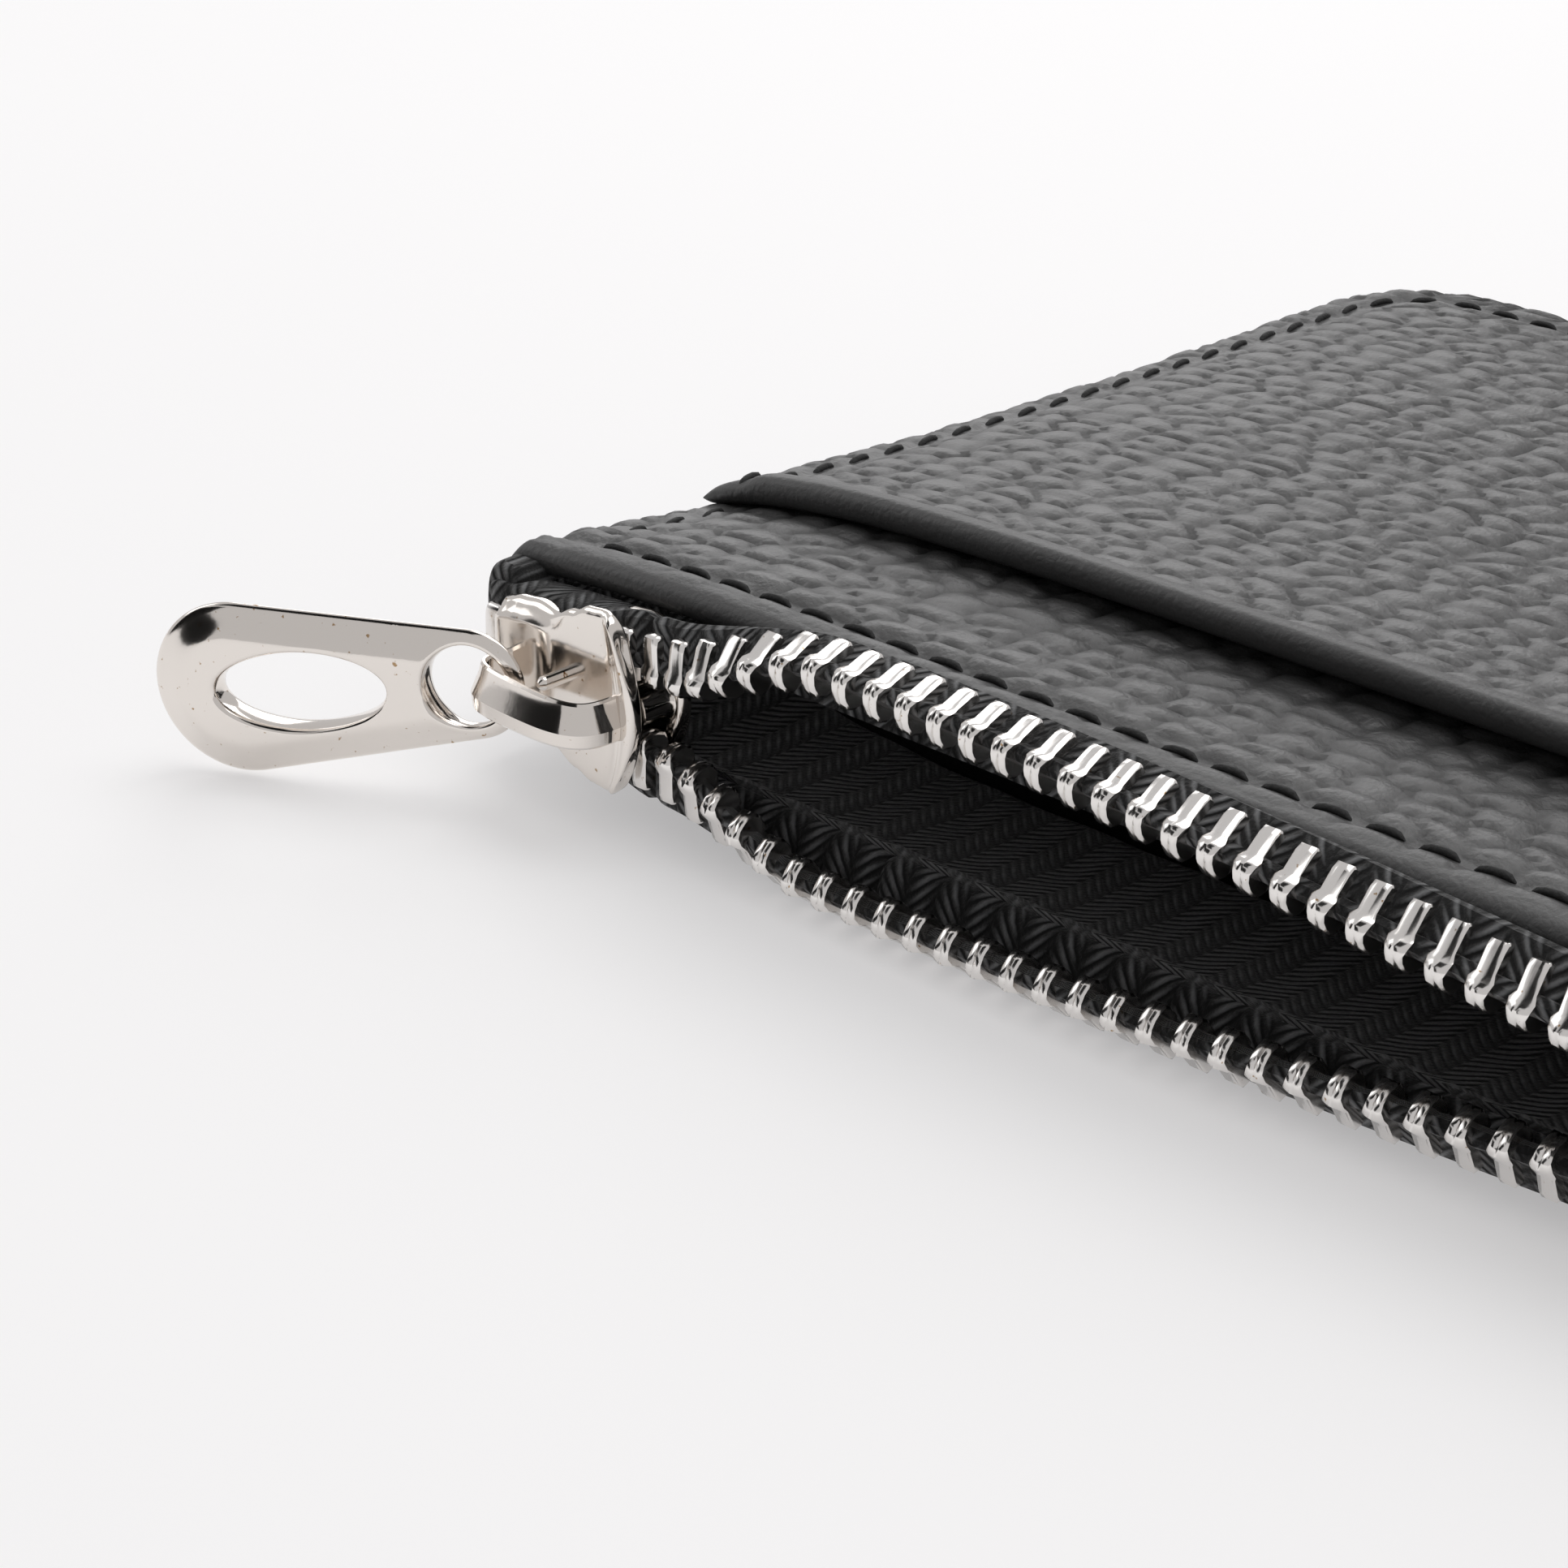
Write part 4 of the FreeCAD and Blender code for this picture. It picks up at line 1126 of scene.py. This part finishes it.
def make_lock_pin():
    """A round pin with a domed end, turned from its radius at each height."""
    low, high = low_high("lock_pin")
    radius = (high[0] - low[0]) / 2
    centre = (low + high) / 2
    y = np.linspace(low[1], high[1], 12)
    share = rounded(np.minimum(y - low[1], high[1] - y) + 0.03, radius)
    turn = np.linspace(0, 2 * math.pi, 17)[:-1]
    rings = np.stack(np.broadcast_arrays(
        centre[0] + (radius * share)[:, None] * np.cos(turn), y[:, None],
        centre[2] + (radius * share)[:, None] * np.sin(turn)), axis=-1)
    points, faces = bar_mesh(rings)
    return settle(make_piece("lock_pin_domed", points, faces, NICKEL), "lock", "nickel_slider", "lock_pin")


make_arch()
make_lock_pin()

# %% [markdown]
# ## Pull
# A teardrop plate with two holes. It is cut across between the holes into two rings of radial lines,
# each from the outline in to its own hole, so that both halves share the points on the cut. The
# height at a point comes from its distances to the outline and to the holes.

# %% Pull
PULL_RING = 3.2
PULL_HEAD = 5.0
PULL_SPAN = 13.6
RING_HOLE = 2.3
FINGER = (9.7, 5.0, 2.15)
PULL_CUT = 3.55
PULL_YAW, PULL_DROOP = 28.0, 8.0
RING_BAND = 0.35
DESIGN_HOLE = 2.5


def outline_distance(u, v):
    """Distance in from the teardrop's outline: a tapered capsule round the two end circles."""
    lean = (PULL_HEAD - PULL_RING) / PULL_SPAN
    k = np.clip((u + np.abs(v) * lean / math.sqrt(1 - lean**2)) / PULL_SPAN, 0, 1)
    return PULL_RING + (PULL_HEAD - PULL_RING) * k - np.hypot(u - PULL_SPAN * k, v)


def outline_reach(centre, angle):
    """How far a ray from a centre goes before it leaves the teardrop, by halving."""
    low, high = np.zeros_like(angle), np.full_like(angle, 20.0)
    for _ in range(40):
        middle = (low + high) / 2
        inside = outline_distance(centre + middle * np.cos(angle), middle * np.sin(angle)) > 0
        low, high = np.where(inside, middle, low), np.where(inside, high, middle)
    return low


def hole_distance(u, v):
    """Distance out from the nearer hole's rim."""
    ring = np.hypot(u, v) - RING_HOLE
    place, long, wide = FINGER
    radial = np.hypot((u - place) / long, v / wide)
    finger = (radial - 1) * np.hypot(u - place, v) / np.maximum(radial, 1e-6)
    return np.minimum(ring, finger)


def pull_height(u, v):
    """Half thickness: a flat band with a wide bevel to the outline and round rims at the holes."""
    rim = outline_distance(u, v)
    body = 0.28 + 0.66 * smooth(rim / 2.1)
    return body * rounded(rim, 0.42) * rounded(hole_distance(u, v), 0.34)


def half_ring(centre, long, wide, keep_left):
    """Points of one half, from the outline or the cut in to the hole."""
    cut_reach = outline_half(PULL_CUT)
    v_cut = stations(-cut_reach, cut_reach, 0.5, 0.3)
    cut_angle = np.arctan2(v_cut, PULL_CUT - centre)
    edge = abs(cut_angle[0])
    if keep_left:
        rest = np.linspace(edge, 2 * math.pi - edge, 73)[1:-1]
    else:
        rest = np.linspace(-(abs(cut_angle[-1])), abs(cut_angle[-1]), 121)[1:-1]
    reach_rest = outline_reach(centre, rest)
    border = np.stack([centre + reach_rest * np.cos(rest), reach_rest * np.sin(rest)], axis=1)
    cut = np.stack([np.full(len(v_cut), PULL_CUT), v_cut], axis=1)
    border = np.concatenate([cut, border]) if keep_left else np.concatenate([cut[::-1], border])
    angle = np.arctan2(border[:, 1] / wide, (border[:, 0] - centre) / long)
    hole = np.stack([centre + long * np.cos(angle), wide * np.sin(angle)], axis=1)
    bend = 1 - np.cos(np.linspace(0, math.pi / 2, 6))
    share = np.concatenate([bend * 0.12, np.linspace(0.12, 0.85, 11)[1:-1], 1 - bend[::-1] * 0.15])
    return border[:, None] + share[None, :, None] * (hole - border)[:, None]


def outline_half(u):
    """Half width of the teardrop at a place between its ends, by halving."""
    low, high = 0.0, 6.0
    for _ in range(40):
        middle = (low + high) / 2
        inside = outline_distance(np.float64(u), np.float64(middle)) > 0
        low, high = (middle, high) if inside else (low, middle)
    return low


def pull_axes():
    """Directions of the pull at rest: its length, its width and its face."""
    yaw, droop = math.radians(PULL_YAW), math.radians(PULL_DROOP)
    length = np.array([-math.cos(yaw) * math.cos(droop), -math.sin(yaw) * math.cos(droop), -math.sin(droop)])
    face = np.array([math.sin(yaw), -math.cos(yaw), 0.0])
    return length, np.cross(face, length), face


def weld(piece):
    """Merge points that coincide and turn every face outwards."""
    cage = bmesh.new()
    cage.from_mesh(piece.data)
    bmesh.ops.remove_doubles(cage, verts=cage.verts, dist=2e-6)
    bmesh.ops.recalc_face_normals(cage, faces=cage.faces)
    cage.to_mesh(piece.data)
    cage.free()


def make_pull():
    hinge = np.array(next(j["pos_m"] for j in frame["joints"] if j["name"] == "pull_swing")) / MM
    length, wide, face = pull_axes()
    start = hinge + length * (DESIGN_HOLE + RING_BAND)
    place, long, narrow = FINGER
    parts = []
    for grid in (half_ring(0.0, RING_HOLE, RING_HOLE, True), half_ring(place, long, narrow, False)):
        u, v = grid[..., 0], grid[..., 1]
        rise = pull_height(u, v)
        rise[:, -1] = 0
        index = np.arange(u.size).reshape(u.shape)
        index = np.concatenate([index, index[:1]])
        flat = start + u[..., None] * length + v[..., None] * wide
        faces = cell_faces(index)
        top = (flat + rise[..., None] * face).reshape(-1, 3)
        low = (flat - rise[..., None] * face).reshape(-1, 3)
        parts += [(top, faces), (low, faces[:, ::-1])]
    points, faces = joined(parts)
    piece = make_piece("pull_teardrop", points, faces, NICKEL, crease=60)
    weld(piece)
    return settle(piece, "pull", "nickel_slider", "pull_tab")


make_pull()

# %% [markdown]
# ## Ends of the zip
# A metal stop closes each row, one box stops the slider, and the tapes' ends are folded back and
# sewn. All are full, rounded blocks: a block is a sphere whose sine and cosine are raised to a small
# power, which squares it.

# %% Stops and tape ends
def block_mesh(low, high, square, count=20):
    """A squared-off sphere that fills a box."""
    centre, half = (low + high) / 2, (high - low) / 2
    rise = np.linspace(-math.pi / 2, math.pi / 2, count)
    turn = np.linspace(0, 2 * math.pi, 2 * count + 1)[:-1]
    v, u = np.meshgrid(rise, turn, indexing="ij")

    def power(value):
        return np.sign(value) * np.abs(value) ** square

    x = power(np.cos(v)) * power(np.cos(u))
    y = power(np.cos(v)) * power(np.sin(u))
    ball = np.stack([x, y, power(np.sin(v))], axis=-1) * half + centre
    return bar_mesh(ball[1:-1])


def make_block(name, node, body, slot, finish, square, low_shift=(0, 0, 0), high_shift=(0, 0, 0)):
    """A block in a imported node's box, whose corners can be shifted."""
    low, high = low_high(node)
    points, faces = block_mesh(low + np.array(low_shift), high + np.array(high_shift), square)
    uv = points[:, [0, 2]]
    return settle(make_piece(name, points, faces, finish, uv, crease=60), body, slot, node)


make_block("left_tape_fold", "left_tape_end", "root", "zip_tape", TAPE, 0.4,
           (0.9, -0.2, -0.6), (2.0, 2.0, 0.9))
make_block("right_tape_fold", "right_tape_end", "root", "zip_tape", TAPE, 0.4,
           (-2.0, -0.2, -0.6), (-0.9, 2.0, 0.9))
make_block("end_box", "end_stop", "root", "nickel_teeth", TEETH, 0.3)
make_block("upper_stop", "upper_top_stop", "upper_lip", "nickel_teeth", TEETH, 0.4)
make_block("lower_stop", "lower_top_stop", "lower_lip", "nickel_teeth", TEETH, 0.4)
